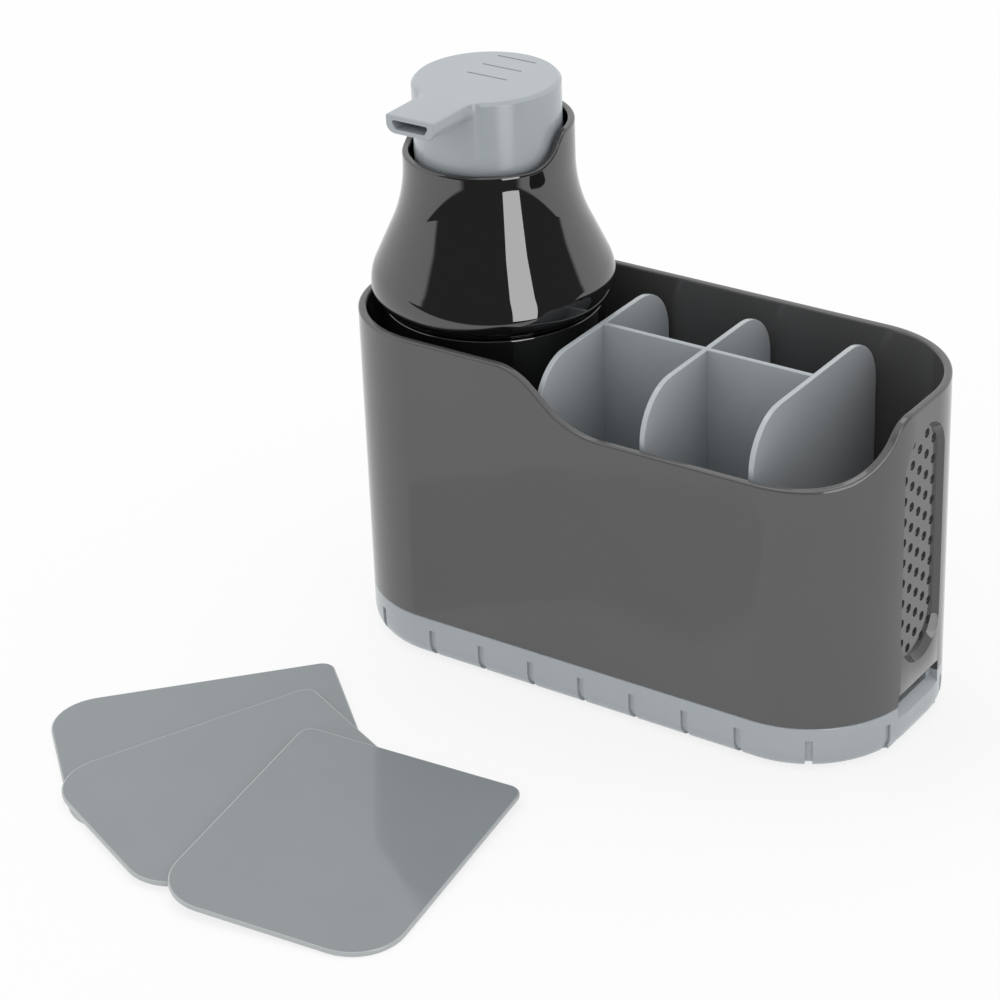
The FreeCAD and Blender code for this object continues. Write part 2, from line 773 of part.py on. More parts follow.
def scoop_collar(body):
    """The collar is low in front and rises in two arcs at both sides; its rim is soft."""
    angle, foot = size("scoop_angle"), size("scoop_radius")
    low = collar_top - size("scoop_depth")
    top = size("scoop_depth") / (1 - cosine(angle)) - foot
    back = size("scoop_back")
    turn_y = back - top * sine(angle)
    turn_z = collar_top - top * (1 - cosine(angle))
    start = turn_y - foot * sine(angle)
    front = -collar_radius - overrun
    outline = new_sketch(body, "scoop_outline", "YZ_Plane")
    draw_loop(outline, [(front, low), (start, low, foot, 1), (turn_y, turn_z, top, -1),
                        (back, collar_top), (back, collar_top + overrun),
                        (front, collar_top + overrun)])
    scoop = feature(body, "Pocket", "scoop", outline, (collar_radius + overrun) * 2, both=True)
    soften_rim(body, "collar_rounding", scoop, low, size("collar_round"))


def make_bell_seal():
    seal = doc.addObject("Part::Torus", "bell_seal")
    seal.Label = "bell_seal"
    wire = size("ring_wire_radius")
    seal.setExpression("Radius1", (reservoir_bore - size("ring_clearance") - wire).text)
    seal.setExpression("Radius2", wire.text)
    place(seal, bottle_x, 0, bell_foot - size("ring_drop"))
    return seal


# Pump

neck_radius = size("neck_radius")
neck_top = deck_top + size("neck_height")
flange_foot = neck_top + size("gasket_thickness")
flange_top = flange_foot + size("flange_thickness")
guide_top = flange_top + size("guide_flange")
guide_foot = flange_top - size("guide_depth")
barrel_bore = size("barrel_bore")
barrel_radius = barrel_bore + size("barrel_wall")
barrel_foot = flange_foot - size("barrel_length")
valve_foot = barrel_foot - size("valve_drop")
spigot_foot = valve_foot - size("spigot_length")
tube_top = spigot_foot + size("tube_seat")
tube_bore = size("tube_bore")
stem_radius = size("stem_radius")
stem_bore = size("stem_bore")
stem_foot = guide_foot - size("stop_gap") - size("piston_height")
peg_foot = stem_foot - size("peg_foot")
head_top = collar_top + size("head_rise")
head_under = head_top - size("head_plate")
stem_top = head_under - size("boss_seat")


def make_round_piece(name, corners):
    """A piece turned round the bottle's axis."""
    body = new_body(name)
    turned(body, name + "_turning", corners)
    place(body, bottle_x)
    return body


def make_pump_housing():
    """The barrel with its flange, the cone that seats the ball, and the spigot."""
    tube = size("tube_radius")
    spigot = tube + size("spigot_wall")
    return make_round_piece("pump_housing", [
        (tube_bore, tube_top), (tube, tube_top), (tube, spigot_foot), (spigot, spigot_foot),
        (spigot, valve_foot), (barrel_radius, barrel_foot), (barrel_radius, flange_foot),
        (neck_radius, flange_foot), (neck_radius, flange_top), (barrel_bore, flange_top),
        (barrel_bore, barrel_foot), (size("valve_radius"), barrel_foot),
        (tube_bore, valve_foot)])


def make_stem_guide():
    bore = stem_radius + running
    rise = guide_top + size("guide_rise")
    collar = barrel_bore - size("closure_clearance")
    return make_round_piece("stem_guide", [
        (bore, guide_foot), (barrel_bore, guide_foot), (barrel_bore, flange_top),
        (neck_radius, flange_top), (neck_radius, guide_top), (collar, guide_top),
        (collar, rise), (bore, rise)])


def make_pump_closure():
    bore = neck_radius + size("closure_clearance")
    outer = bore + size("closure_wall")
    foot = deck_top + size("closure_foot_gap")
    top = guide_top + size("closure_lip")
    return make_round_piece("pump_closure", [
        (bore, foot), (outer, foot), (outer, top), (barrel_bore, top),
        (barrel_bore, guide_top), (bore, guide_top)])


def make_stem_plug():
    """A peg in the stem's bore and a foot that the spring pushes on."""
    radius = barrel_bore - size("peg_foot_gap")
    top = stem_foot + size("peg_length")
    return make_round_piece("stem_plug", [
        (0, peg_foot), (radius, peg_foot), (radius, stem_foot), (stem_bore, stem_foot),
        (stem_bore, top), (0, top)])


def make_return_spring():
    body = new_body("return_spring")
    wire = size("spring_wire_radius")
    section = new_sketch(body, "wire_outline", "XZ_Plane")
    draw_circle(section, barrel_bore - size("spring_gap") - wire, 0, wire)
    coil = body.newObject("PartDesign::AdditiveHelix", "coil")
    coil.Profile = section
    coil.ReferenceAxis = (section, ["V_Axis"])
    coil.Mode = "height-turns-angle"
    coil.setExpression("Height", (peg_foot - barrel_foot - wire * 2 - touch * 2).text)
    coil.setExpression("Turns", size("spring_turns").text)
    place(body, bottle_x, 0, barrel_foot + wire + touch)
    return body


def make_inlet_ball():
    """The ball rests on the cone between barrel and spigot."""
    ball = doc.addObject("Part::Sphere", "inlet_ball")
    ball.Label = "inlet_ball"
    radius, drop = size("ball_radius"), size("valve_drop")
    ball.setExpression("Radius", radius.text)
    wide = size("valve_radius") - tube_bore
    slant = root(wide * wide + drop * drop)
    rise = ((radius + touch) * slant - tube_bore * drop) / wide
    place(ball, bottle_x, 0, valve_foot + rise)
    return ball


def make_dip_tube():
    foot = floor_top + size("reservoir_floor") + size("tube_floor_gap")
    return make_round_piece("dip_tube", ring(tube_bore, size("tube_radius"), foot, tube_top))


# Press head

head_radius = collar_radius - size("collar_wall") - size("head_gap")
spout_reach = head_radius + size("spout_overhang")
duct_top = head_top - size("spout_roof")


def make_pump_head():
    body = new_body("pump_head")
    edge = size("head_round")
    boss, boss_foot = stem_radius + size("boss_wall"), head_under - size("boss_length")
    inner, skirt_foot = head_radius - size("head_wall"), head_top - size("head_skirt_drop")
    turned(body, "head", [
        (0, head_top), (0, duct_top), (stem_bore, duct_top), (stem_bore, stem_top),
        (stem_radius, stem_top), (stem_radius, boss_foot), (boss, boss_foot), (boss, head_under),
        (inner, head_under), (inner, skirt_foot), (head_radius, skirt_foot),
        (head_radius, head_top - edge, edge, 1), (head_radius - edge, head_top)])
    make_spout(body)
    cut_grooves(body)
    place(body, bottle_x)
    return body


def make_spout(body):
    """The flat duck-bill spout from the boss to the front, with soft lips and a wide slot."""
    half, low = size("spout_width") / 2, head_top - size("spout_height")
    foot, soft = size("spout_foot_round"), size("spout_round")
    outline = new_sketch(body, "bill_outline", "XZ_Plane", stem_radius)
    draw_loop(outline, [
        (foot - half, low), (half - foot, low, foot, 1),
        (half, low + foot), (half, head_top - soft, soft, 1),
        (half - soft, head_top), (soft - half, head_top, soft, 1),
        (-half, head_top - soft), (-half, low + foot, foot, 1)])
    bill = feature(body, "Pad", "bill", outline, spout_reach - stem_radius)
    nearest = (soft - spout_reach).number
    rounded_edges(body, "bill_lips", bill, lambda edge: edge.BoundBox.YMax < nearest, soft)
    slot_low = duct_top - size("slot_height")
    slot, slot_foot = size("slot_width") / 2, size("slot_foot_width") / 2
    duct = new_sketch(body, "duct_outline", "XZ_Plane", spout_reach)
    draw_loop(duct, [(slot_foot, slot_low), (slot, duct_top), (-slot, duct_top),
                     (-slot_foot, slot_low)])
    feature(body, "Pocket", "duct", duct, spout_reach)


def cut_grooves(body):
    """Three short finger grooves across the top."""
    sketch = new_sketch(body, "groove_outline", "XY_Plane", head_top)
    half, width = size("groove_length") / 2, size("groove_width")
    for step in range(3):
        front = size("groove_first") + size("groove_pitch") * step - width / 2
        draw_loop(sketch, [(-half, front), (half, front), (half, front + width),
                           (-half, front + width)])
    feature(body, "Pocket", "grooves", sketch, size("groove_depth"))


# Assembly

pieces = [
    make_drip_tray(),
    make_caddy_body(),
    make_divider_insert(),
    make_soap_reservoir(),
    make_bell_seal(),
    make_bottle_bell(),
    make_pump_closure(),
    make_round_piece("housing_gasket", ring(barrel_radius, neck_radius, neck_top, flange_foot)),
    make_pump_housing(),
    make_stem_guide(),
    make_round_piece("pump_stem", ring(stem_bore, stem_radius, stem_foot, stem_top)),
    make_stem_plug(),
    make_round_piece("piston_seal", ring(stem_radius, barrel_bore - running, stem_foot,
                                         stem_foot + size("piston_height"))),
    make_return_spring(),
    make_inlet_ball(),
    make_dip_tube(),
    make_pump_head(),
] + make_loose_plates()
doc.recompute()

for item in doc.Objects:
    if "Invalid" in item.State or "Error" in item.State:
        raise RuntimeError(item.Name + " did not recompute")
for piece in pieces:
    if piece.Shape.isNull() or not piece.Shape.isValid():
        raise RuntimeError(piece.Label + " has no valid shape")

os.makedirs("parts", exist_ok=True)
for piece in pieces:
    piece.Shape.exportStep("parts/" + piece.Label + ".step")
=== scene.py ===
import math

import bmesh
import bpy
from mathutils import Euler, Matrix, Vector


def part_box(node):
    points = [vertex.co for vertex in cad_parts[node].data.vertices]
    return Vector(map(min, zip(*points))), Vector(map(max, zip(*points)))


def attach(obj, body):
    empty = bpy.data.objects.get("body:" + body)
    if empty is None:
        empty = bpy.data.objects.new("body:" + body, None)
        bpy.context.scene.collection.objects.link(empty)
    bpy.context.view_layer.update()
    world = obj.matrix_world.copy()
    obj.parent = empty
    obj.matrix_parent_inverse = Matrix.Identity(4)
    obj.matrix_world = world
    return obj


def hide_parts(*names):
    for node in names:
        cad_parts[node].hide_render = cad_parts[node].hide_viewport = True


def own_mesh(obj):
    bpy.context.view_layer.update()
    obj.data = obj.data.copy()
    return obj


bl_info = {
    "name": "Soap Pump Caddy",
    "version": (1, 0, 0),
    "blender": (4, 5, 0),
    "location": "3D View > Sidebar > Caddy",
    "description": "Finished pieces, plastics and studio for the soap pump caddy",
    "category": "Add Mesh",
}

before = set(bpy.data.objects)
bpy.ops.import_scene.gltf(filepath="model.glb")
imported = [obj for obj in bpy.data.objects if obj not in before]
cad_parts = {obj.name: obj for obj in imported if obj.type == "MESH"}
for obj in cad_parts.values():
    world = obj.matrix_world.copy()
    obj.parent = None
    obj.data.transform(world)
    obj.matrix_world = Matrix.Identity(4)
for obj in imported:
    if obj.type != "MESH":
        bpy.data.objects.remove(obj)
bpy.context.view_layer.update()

MM = 0.001
# Points nearer to each other than this become one.
MERGE = 1e-7
# The least radius of a corner that is drawn in.
LEAST_ROUND = 0.02 * MM
# Edges that turn by more than this stay sharp.
SHARP_ANGLE = math.radians(35)
# Points round a quarter turn of a rounded edge, of a drawn arc and of the caddy's own corners.
ROUND_STEPS, ARC_STEPS, CORNER_STEPS = 6, 10, 48
# Points round the seal's section and half round the ball's.
CIRCLE_STEPS = 24
# Points round a full turn of the bell, the reservoir, the press head and the seal, then of the pump's
# pieces, the ball, and the drains and holes.
BELL_STEPS, CUP_STEPS, HEAD_STEPS, RING_STEPS = 256, 224, 192, 160
PUMP_STEPS, BALL_STEPS, DRAIN_STEPS = 96, 48, 32
# Points along each turn of the spring and round its wire.
COIL_STEPS, WIRE_STEPS = 64, 14
# Distance between the points along straight walls: the tray's, and the body's under its curved rim.
COARSE_SPACING, FINE_SPACING = 4 * MM, 1.5 * MM
# How much of an edge a rounded corner may use, so that a close row of points still fits beside it.
ROOM_SHARE = 0.42
CLOSE_SHARE = 0.25
# Cells along the divider insert, on each side of its long wall.
CELLS = 2
# On a soft plate, in radii of its edge: where the flat face starts and where the painted highlight along
# the edge ends.
FACE_SHARE = 5
HIGHLIGHT_SHARE = 1.1


# Sizes and colours

def length(name, description, millimetres):
    return bpy.props.FloatProperty(name=name, description=description, subtype="DISTANCE",
                                   unit="LENGTH", default=millimetres * MM)


def angle(name, description, degrees):
    return bpy.props.FloatProperty(name=name, description=description, subtype="ANGLE",
                                   unit="ROTATION", default=math.radians(degrees))


def colour(name, description, value):
    return bpy.props.FloatVectorProperty(name=name, description=description, subtype="COLOR",
                                         size=3, min=0, max=1, default=value)


class CaddyBodySizes(bpy.types.PropertyGroup):
    end_flat: length("End flat", "Flat width of the rounded ends", 15.8)
    wall: length("Wall", "Thickness of the moulded wall", 3.0)
    rim_round: length("Rim round", "Radius on both edges of the rim", 0.9)
    seam_round: length("Seam round", "Radius where caddy and tray meet", 0.5)
    dip_depth: length("Dip depth", "How far the front rim falls", 19.5)
    dip_start: length("Dip start", "Where the front rim starts to fall", -32.5)
    dip_angle: angle("Dip angle", "Steepest slope of the falling rim", 42.0)
    dip_top_radius: length("Dip top radius", "Radius where the rim starts to fall", 21.0)
    dip_foot_radius: length("Dip foot radius", "Radius where the rim levels out", 33.0)
    climb_angle: angle("Climb angle", "Steepest slope of the rim round the corner", 58.7)
    climb_foot_radius: length("Climb foot radius", "Radius where the rim starts to climb", 31.0)
    floor_top: length("Floor top", "Height of the caddy's floor", 22.6)
    floor_foot: length("Floor foot", "Height of the floor's underside", 20.1)
    seat_radius: length("Seat radius", "Inside of the ring that seats the reservoir", 39.9)
    seat_wall: length("Seat wall", "Thickness of the seat ring", 1.6)
    seat_height: length("Seat height", "Height of the seat ring above the floor", 6.0)
    seat_round: length("Seat round", "Radius on both edges of the seat ring", 0.4)
    floor_round: length("Floor round", "Radius between wall and floor", 1.2)
    under_round: length("Under round", "Radius between wall and floor on the underside", 0.6)
    skirt_round: length("Skirt round", "Radius inside the wall's foot", 0.3)
    panel_width: length("Panel width", "Width of the recessed end panel", 28.0)
    panel_foot: length("Panel foot", "Lower end of the panel", 29.8)
    panel_top: length("Panel top", "Upper end of the panel", 119.0)
    panel_recess: length("Panel recess", "Depth of the panel", 2.6)
    panel_slope: length("Panel slope", "How far the panel's edge slants in to its face", 1.4)
    panel_thickness: length("Panel thickness", "Thickness behind the panel's face", 2.2)
    panel_margin: length("Panel margin", "How far the panel's back reaches past it", 2.0)
    hole_radius: length("Hole radius", "Radius of the panel's holes", 1.7)
    hole_columns: length("Hole columns", "Distance between the columns of holes", 4.9)
    hole_rows: length("Hole rows", "Distance between the rows of holes", 7.8)
    hole_count: bpy.props.IntProperty(name="Hole count", default=11, min=2,
                                      description="Holes in the longer columns")
    drain_radius: length("Drain radius", "Radius of the drains in the floor", 2.5)
    drain_aside: length("Drain aside", "From the middle line to the drains", 15.0)
    grip_width: length("Grip width", "Width of the thumb recess", 29.0)
    grip_depth: length("Grip depth", "Depth of the thumb recess", 3.4)
    grip_height: length("Grip height", "Height of the slanted recess above the seam", 5.0)
    slit_width: length("Slit width", "Width of the slit above the tray", 23.0)
    slit_height: length("Slit height", "Height of the slit above the tray", 1.8)


class CaddyTraySizes(bpy.types.PropertyGroup):
    floor: length("Floor", "Thickness of the tray's floor", 3.5)
    foot_round: length("Foot round", "Radius along the tray's foot", 7.0)
    side_height: length("Side height", "Height of the tray's outer side", 17.1)
    lip_inset: length("Lip inset", "From the outer side to the lip", 3.4)
    lip_thickness: length("Lip thickness", "Thickness of the lip", 1.6)
    lip_round: length("Lip round", "Radius on both edges of the lip", 0.4)
    lip_foot_round: length("Lip foot round", "Radius where the lip stands on the seam", 0.2)
    floor_round: length("Floor round", "Radius between lip and floor", 1.2)
    ledge_drop: length("Ledge drop", "From the seam down to the thumb ledge", 2.2)
    ledge_slope: length("Ledge slope", "How far the thumb ledge falls outward", 2.5)
    block_thickness: length("Block thickness", "Wall behind the thumb pocket", 2.4)
    block_margin: length("Block margin", "Wall beside the thumb pocket", 3.0)
    notch_width: length("Notch width", "Width of the upright notches", 2.6)
    notch_depth: length("Notch depth", "Depth of the upright notches", 1.0)
    notch_height: length("Notch height", "Upper end of the notches", 12.3)
    notch_reach: length("Notch reach", "How far the notches run under the foot", 9.0)
    notch_pitch: length("Notch pitch", "Distance between notches on the long sides", 21.25)
    notch_near: angle("Near notch", "First notch round a corner", 30.0)
    notch_far: angle("Far notch", "Second notch round a corner", 73.0)


class CaddyDividerSizes(bpy.types.PropertyGroup):
    thickness: length("Thickness", "Thickness of the divider walls", 2.0)
    top_round: length("Top round", "Radius of a cross wall's upper corners", 18.5)
    foot_round: length("Foot round", "Radius of a cross wall's lower corners", 5.0)
    edge_round: length("Edge round", "Softness of the walls' edges", 0.28)
    plate_thickness: length("Plate thickness", "Thickness of the loose plates", 1.8)
    plate_round: length("Plate edge round", "Softness of the loose plates' edges", 0.5)


class CaddyBottleSizes(bpy.types.PropertyGroup):
    foot_round: length("Foot round", "Radius under the bell's widest part", 7.0)
    turn_angle: angle("Turn angle", "Slope of the bell's straight flank", 25.0)
    turn_radius: length("Turn radius", "Radius above the bell's widest part", 19.0)
    sweep_radius: length("Sweep radius", "Radius of the hollow sweep below the collar", 55.6)
    skin: length("Skin", "Thickness of the bell", 2.4)
    taper: length("Taper", "From the bell's widest part in to the collar", 13.3)
    collar_wall: length("Collar wall", "Thickness of the collar", 2.6)
    collar_round: length("Collar round", "Radius on both edges of the collar's rim", 0.8)
    scoop_depth: length("Scoop depth", "How far the collar dips in front", 10.3)
    scoop_back: length("Scoop back", "Where the collar reaches full height", 5.4)
    scoop_angle: angle("Scoop angle", "Steepest slope of the scoop", 54.5)
    scoop_radius: length("Scoop radius", "Radius where the scoop starts to climb", 17.0)
    plug_radius: length("Plug radius", "Outside of the plug in the reservoir", 36.85)
    plug_wall: length("Plug wall", "Thickness of the plug", 4.2)
    plug_round: length("Plug round", "Radius on the plug's lower edges", 0.5)
    plug_groove_round: length("Plug groove round", "Radius on the edges of the seal's groove", 0.1)
    base_gap: length("Base gap", "Gap between the bell and the reservoir's rim", 0.4)
    deck_gap: length("Deck gap", "Gap between the deck and the pump's closure", 1.0)
    deck_round: length("Deck round", "Radius on the edges of deck and neck", 0.3)
    neck_radius: length("Neck radius", "Outside of the neck that carries the pump", 15.0)
    neck_bore: length("Neck bore", "Inside of the neck", 12.8)
    reservoir_wall: length("Reservoir wall", "Thickness of the reservoir", 2.2)
    reservoir_floor: length("Reservoir floor", "Thickness of the reservoir's floor", 2.4)
    reservoir_round: length("Reservoir round", "Radius round the reservoir's foot", 4.0)
    reservoir_rim_round: length("Reservoir rim round", "Radius on both edges of its rim", 0.6)
    reservoir_inner_round: length("Reservoir inner round", "Radius round its floor", 1.8)


class CaddyPumpSizes(bpy.types.PropertyGroup):
    head_bevel: length("Head bevel", "Slant round the press head's top", 1.2)
    head_round: length("Head round", "Radius on both edges of that slant", 0.5)
    head_plate: length("Head plate", "Thickness of the press head's top", 2.4)
    head_wall: length("Head wall", "Thickness of the press head's skirt", 2.0)
    head_inner_round: length("Head inner round", "Radius on the press head's hidden edges", 0.2)
    boss_radius: length("Boss radius", "Outside of the boss that holds the stem", 9.0)
    boss_length: length("Boss length", "Length of the boss below the top", 14.5)
    spout_width: length("Spout width", "Width of the spout", 20.0)
    spout_height: length("Spout height", "Height of the spout", 6.6)
    spout_foot_round: length("Spout foot round", "Radius along the spout's underside", 3.6)
    spout_round: length("Spout round", "Radius along the spout's lips", 0.7)
    spout_blend: length("Spout blend", "Hollow where the spout leaves the round top", 5.0)
    slot_width: length("Slot width", "Upper width of the spout's mouth", 15.6)
    slot_foot_width: length("Slot foot width", "Lower width of the spout's mouth", 12.0)
    slot_height: length("Slot height", "Height of the spout's mouth", 3.2)
    slot_roof: length("Slot roof", "Thickness above the spout's mouth", 1.6)
    groove_length: length("Groove length", "Length of the finger grooves", 16.0)
    groove_width: length("Groove width", "Width of the finger grooves", 0.8)
    groove_depth: length("Groove depth", "Depth of the finger grooves", 0.3)
    groove_first: length("First groove", "From the pump's axis to the first groove", 0.6)
    groove_pitch: length("Groove pitch", "Distance between the grooves", 9.3)
    stem_radius: length("Stem radius", "Outside of the pump's stem", 6.0)
    stem_bore: length("Stem bore", "Inside of the pump's stem", 3.2)
    stem_gap: length("Stem gap", "Room for the stem in its guide", 0.06)
    barrel_radius: length("Barrel radius", "Inside of the pump's barrel", 9.0)
    barrel_wall: length("Barrel wall", "Thickness of the pump's barrel", 1.5)
    valve_radius: length("Valve radius", "Upper radius of the valve's cone", 4.4)
    cone_height: length("Cone height", "Height of the valve's cone", 6.0)
    spigot_radius: length("Spigot radius", "Outside of the spigot on the dip tube", 4.2)
    tube_bore: length("Tube bore", "Inside of the dip tube", 2.0)
    guide_flange: length("Guide flange", "Thickness of the guide's flange", 1.0)
    closure_gap: length("Closure gap", "Room round the guide and inside the closure", 0.3)
    edge_round: length("Edge round", "Radius on the edges of the pump's pieces", 0.3)
    wire_radius: length("Wire radius", "Radius of the spring's wire", 0.6)
    spring_turns: bpy.props.FloatProperty(name="Spring turns", default=5.0, min=1.0,
                                          description="Turns of the return spring")


class CaddyColours(bpy.types.PropertyGroup):
    grey_satin: colour("Grey satin", "Tray, dividers and press head", (0.395, 0.43, 0.455))
    plate_grey: colour("Plate grey", "Loose plates", (0.262, 0.289, 0.301))
    dark_gloss: colour("Dark gloss", "Caddy body", (0.088, 0.088, 0.089))
    black_gloss: colour("Black gloss", "Bell and reservoir", (0.006, 0.006, 0.0062))
    natural_plastic: colour("Natural plastic", "Uncoloured pump pieces", (0.72, 0.72, 0.68))
    seal_rubber: colour("Seal rubber", "Seals", (0.025, 0.025, 0.026))
    spring_steel: colour("Spring steel", "Spring and ball", (0.56, 0.56, 0.57))
    floor: colour("Floor", "Studio floor", (0.95, 0.95, 0.95))


# Mesh making

def add_object(name, data):
    """A new object in the scene."""
    made = bpy.data.objects.new(name, data)
    bpy.context.scene.collection.objects.link(made)
    return made


def link_mesh(name, points, faces, edges=None):
    """A new mesh object; edges, where given, marks each point from flat 0 to edge 1, which sets the
    painted edge highlight.
    """
    mesh = bpy.data.meshes.new(name)
    mesh.from_pydata(points, [], faces)
    if edges:
        mesh.attributes.new("edge", "FLOAT", "POINT").data.foreach_set("value", edges)
    piece = add_object(name, mesh)
    shape = bmesh.new()
    shape.from_mesh(mesh)
    bmesh.ops.remove_doubles(shape, verts=shape.verts, dist=MERGE)
    bmesh.ops.recalc_face_normals(shape, faces=shape.faces)
    shape.to_mesh(mesh)
    shape.free()
    return piece


def skin(name, rings, loop=False, edges=None):
    """A closed skin over equal rings of points: both ends capped, or the last ring meets the first."""
    count = len(rings[0])
    points = [point for ring in rings for point in ring]
    faces = []
    for row in range(len(rings) if loop else len(rings) - 1):
        here, above = row * count, (row + 1) % len(rings) * count
        for i in range(count):
            j = (i + 1) % count
            faces.append((here + i, here + j, above + j, above + i))
    if not loop:
        faces.append(tuple(reversed(range(count))))
        faces.append(tuple(range(len(points) - count, len(points))))
    return link_mesh(name, points, faces, edges and [e for e in edges for i in range(count)])


def joined(name, pieces):
    """Several closed skins as one object."""
    shape = bmesh.new()
    for piece in pieces:
        shape.from_mesh(piece.data)
        bpy.data.objects.remove(piece)
    mesh = bpy.data.meshes.new(name)
    shape.to_mesh(mesh)
    shape.free()
    return add_object(name, mesh)


def plain_mesh(piece):
    """Turn a piece's modifiers into plain mesh."""
    bpy.context.view_layer.update()
    seen = piece.evaluated_get(bpy.context.evaluated_depsgraph_get())
    mesh = bpy.data.meshes.new_from_object(seen)
    piece.modifiers.clear()
    piece.data = mesh


def carve(piece, tool, operation="DIFFERENCE"):
    """Cut a tool out of a piece, or melt it in with UNION."""
    change = piece.modifiers.new("carve", "BOOLEAN")
    change.operation = operation
    change.solver = "EXACT"
    change.object = tool
    plain_mesh(piece)
    bpy.data.objects.remove(tool)


def rounded(corners, radii, closed=True):
    """Round the corners of a flat outline, with a close row of points on both sides of each."""
    points = []
    count = len(corners)
    for i in range(count):
        here, radius = Vector(corners[i]), radii[i] if isinstance(radii, (list, tuple)) else radii
        if not closed and i in (0, count - 1) or radius == 0:
            points.append(here)
            continue
        to_last = Vector(corners[i - 1]) - here
        to_next = Vector(corners[(i + 1) % count]) - here
        half = to_last.angle(to_next) / 2
        room = min(to_last.length, to_next.length) * ROOM_SHARE
        cut = min(radius / math.tan(half), room)
        to_last.normalize()
        to_next.normalize()
        true_radius = cut * math.tan(half)
        centre = here + (to_last + to_next).normalized() * (true_radius / math.sin(half))
        first, last = here + to_last * cut, here + to_next * cut
        start = math.atan2(first.y - centre.y, first.x - centre.x)
        sweep = math.atan2(last.y - centre.y, last.x - centre.x) - start
        sweep = (sweep + math.pi) % math.tau - math.pi
        steps = max(2, round(abs(sweep) / math.radians(90) * ROUND_STEPS))
        points.append(first + to_last * cut * CLOSE_SHARE)
        for step in range(steps + 1):
            turn = start + sweep * step / steps
            points.append(centre + Vector((math.cos(turn), math.sin(turn))) * true_radius)
        points.append(last + to_next * cut * CLOSE_SHARE)
    return points


def arc(start, end, radius, turn, steps=ARC_STEPS):
    """Points after start up to end on an arc under a half turn; turn 1 goes left, -1 right."""
    start, end = Vector(start), Vector(end)
    chord = end - start
    aside = Vector((-chord.y, chord.x)).normalized() * turn
    centre = (start + end) / 2 + aside * math.sqrt(radius ** 2 - (chord.length / 2) ** 2)
    first = math.atan2(start.y - centre.y, start.x - centre.x)
    sweep = math.atan2(end.y - centre.y, end.x - centre.x) - first
    sweep = (sweep + math.pi) % math.tau - math.pi
    return [centre + Vector((math.cos(first + sweep * i / steps),
                             math.sin(first + sweep * i / steps))) * radius
            for i in range(1, steps + 1)]


def swept_step(low, high, end, foot, crest, slope):
    """Heights along a step: low, a hollow of radius foot, a slope, a crest, and high from end on."""
    cos, sin = math.cos(slope), math.sin(slope)
    run = (high - low - (foot + crest) * (1 - cos)) / sin
    second = end - crest * sin
    first = second - run * cos
    start = first - foot * sin

    def height(along):
        if along <= start:
            return low
        if along <= first:
            return low + foot - math.sqrt(foot ** 2 - (along - start) ** 2)
        if along <= second:
            return low + foot * (1 - cos) + (along - first) * math.tan(slope)
        if along <= end:
            return high - crest + math.sqrt(crest ** 2 - (end - along) ** 2)
        return high

    return height


def turned(name, outline, across, steps=RING_STEPS, settle=None):
    """Turn a closed (radius, height) outline round the upright axis at the given place across."""
    rings = []
    for step in range(steps):
        turn = math.tau * step / steps
        ring = []
        for radius, height in outline:
            x, y = radius * math.cos(turn), radius * math.sin(turn)
            ring.append((across + x, y, settle(y, height) if settle else height))
        rings.append(ring)
    return skin(name, rings, loop=True)


def box_tool(name, low, high):
    """A plain block used as a cutter."""
    (a, b, c), (x, y, z) = low, high
    flat = [(a, b), (x, b), (x, y), (a, y)]
    return skin(name, [[(*p, c) for p in flat], [(*p, z) for p in flat]])


def prism(name, outline, low, high, place):
    """An outline drawn out from low to high; place(u, v, depth) gives each point."""
    return skin(name, [[place(p[0], p[1], depth) for p in outline] for depth in (low, high)])


def soft_plate(name, outline, thickness, soft, place):
    """A plate with soft edges and a painted highlight along them; outline(inset) gives its points and
    place() sets them out.
    """
    inside = soft * FACE_SHARE
    edge = rounded([(inside, 0), (0, 0), (0, thickness), (inside, thickness)], soft, closed=False)
    rings = [[place(u, v, depth) for u, v in outline(inset)] for inset, depth in edge]
    # Rows near the rim are marked edge, for the painted highlight.
    light = soft * HIGHLIGHT_SHARE
    return skin(name, rings, edges=[1.0 if inset < light else 0.0 for inset, depth in edge])


def four_corners(half, low, high, low_round, high_round, inset, steps=ARC_STEPS):
    """A rounded rectangle with one radius at its foot and one at its top, drawn in by an inset."""
    half, low, high = half - inset, low + inset, high - inset
    points = []
    for side, end, radius, start in ((1, low, low_round, 270), (1, high, high_round, 0),
                                     (-1, high, high_round, 90), (-1, low, low_round, 180)):
        radius = max(radius - inset, LEAST_ROUND)
        u, v = (half - radius) * side, end + radius * (1 if end == low else -1)
        for step in range(steps + 1):
            turn = math.radians(start + 90 * step / steps)
            points.append((u + radius * math.cos(turn), v + radius * math.sin(turn)))
    return points


def round_columns(half_length, half_width, radius, spacing):
    """Points and outward normals round a rectangle with round ends, from its front left corner."""
    flat_x, flat_y = half_length - radius, half_width - radius
    columns = []
    for turn, x, y, run in ((-90, flat_x, -flat_y, flat_x * 2), (0, flat_x, flat_y, flat_y * 2),
                            (90, -flat_x, flat_y, flat_x * 2), (180, -flat_x, -flat_y, flat_y * 2)):
        out = Vector((math.cos(math.radians(turn)), math.sin(math.radians(turn))))
        along = Vector((-out.y, out.x))
        corner = Vector((x, y))
        steps = max(2, round(run / spacing))
        for step in range(steps):
            columns.append((corner + out * radius - along * run * (1 - step / steps), out))
        for step in range(CORNER_STEPS):
            bend = math.radians(turn + 90 * step / CORNER_STEPS)
            normal = Vector((math.cos(bend), math.sin(bend)))
            columns.append((corner + normal * radius, normal))
    return columns


def wall_round(name, columns, rows, settle=None):
    """A wall round the columns; a row is (inset, height), and settle() moves the rim's rows."""
    rings = []
    for inset, height in rows:
        ring = []
        for point, normal in columns:
            x, y = point - normal * inset
            ring.append((x, y, settle(x, y, height) if settle else height))
        rings.append(ring)
    return skin(name, rings)


# Geometry nodes

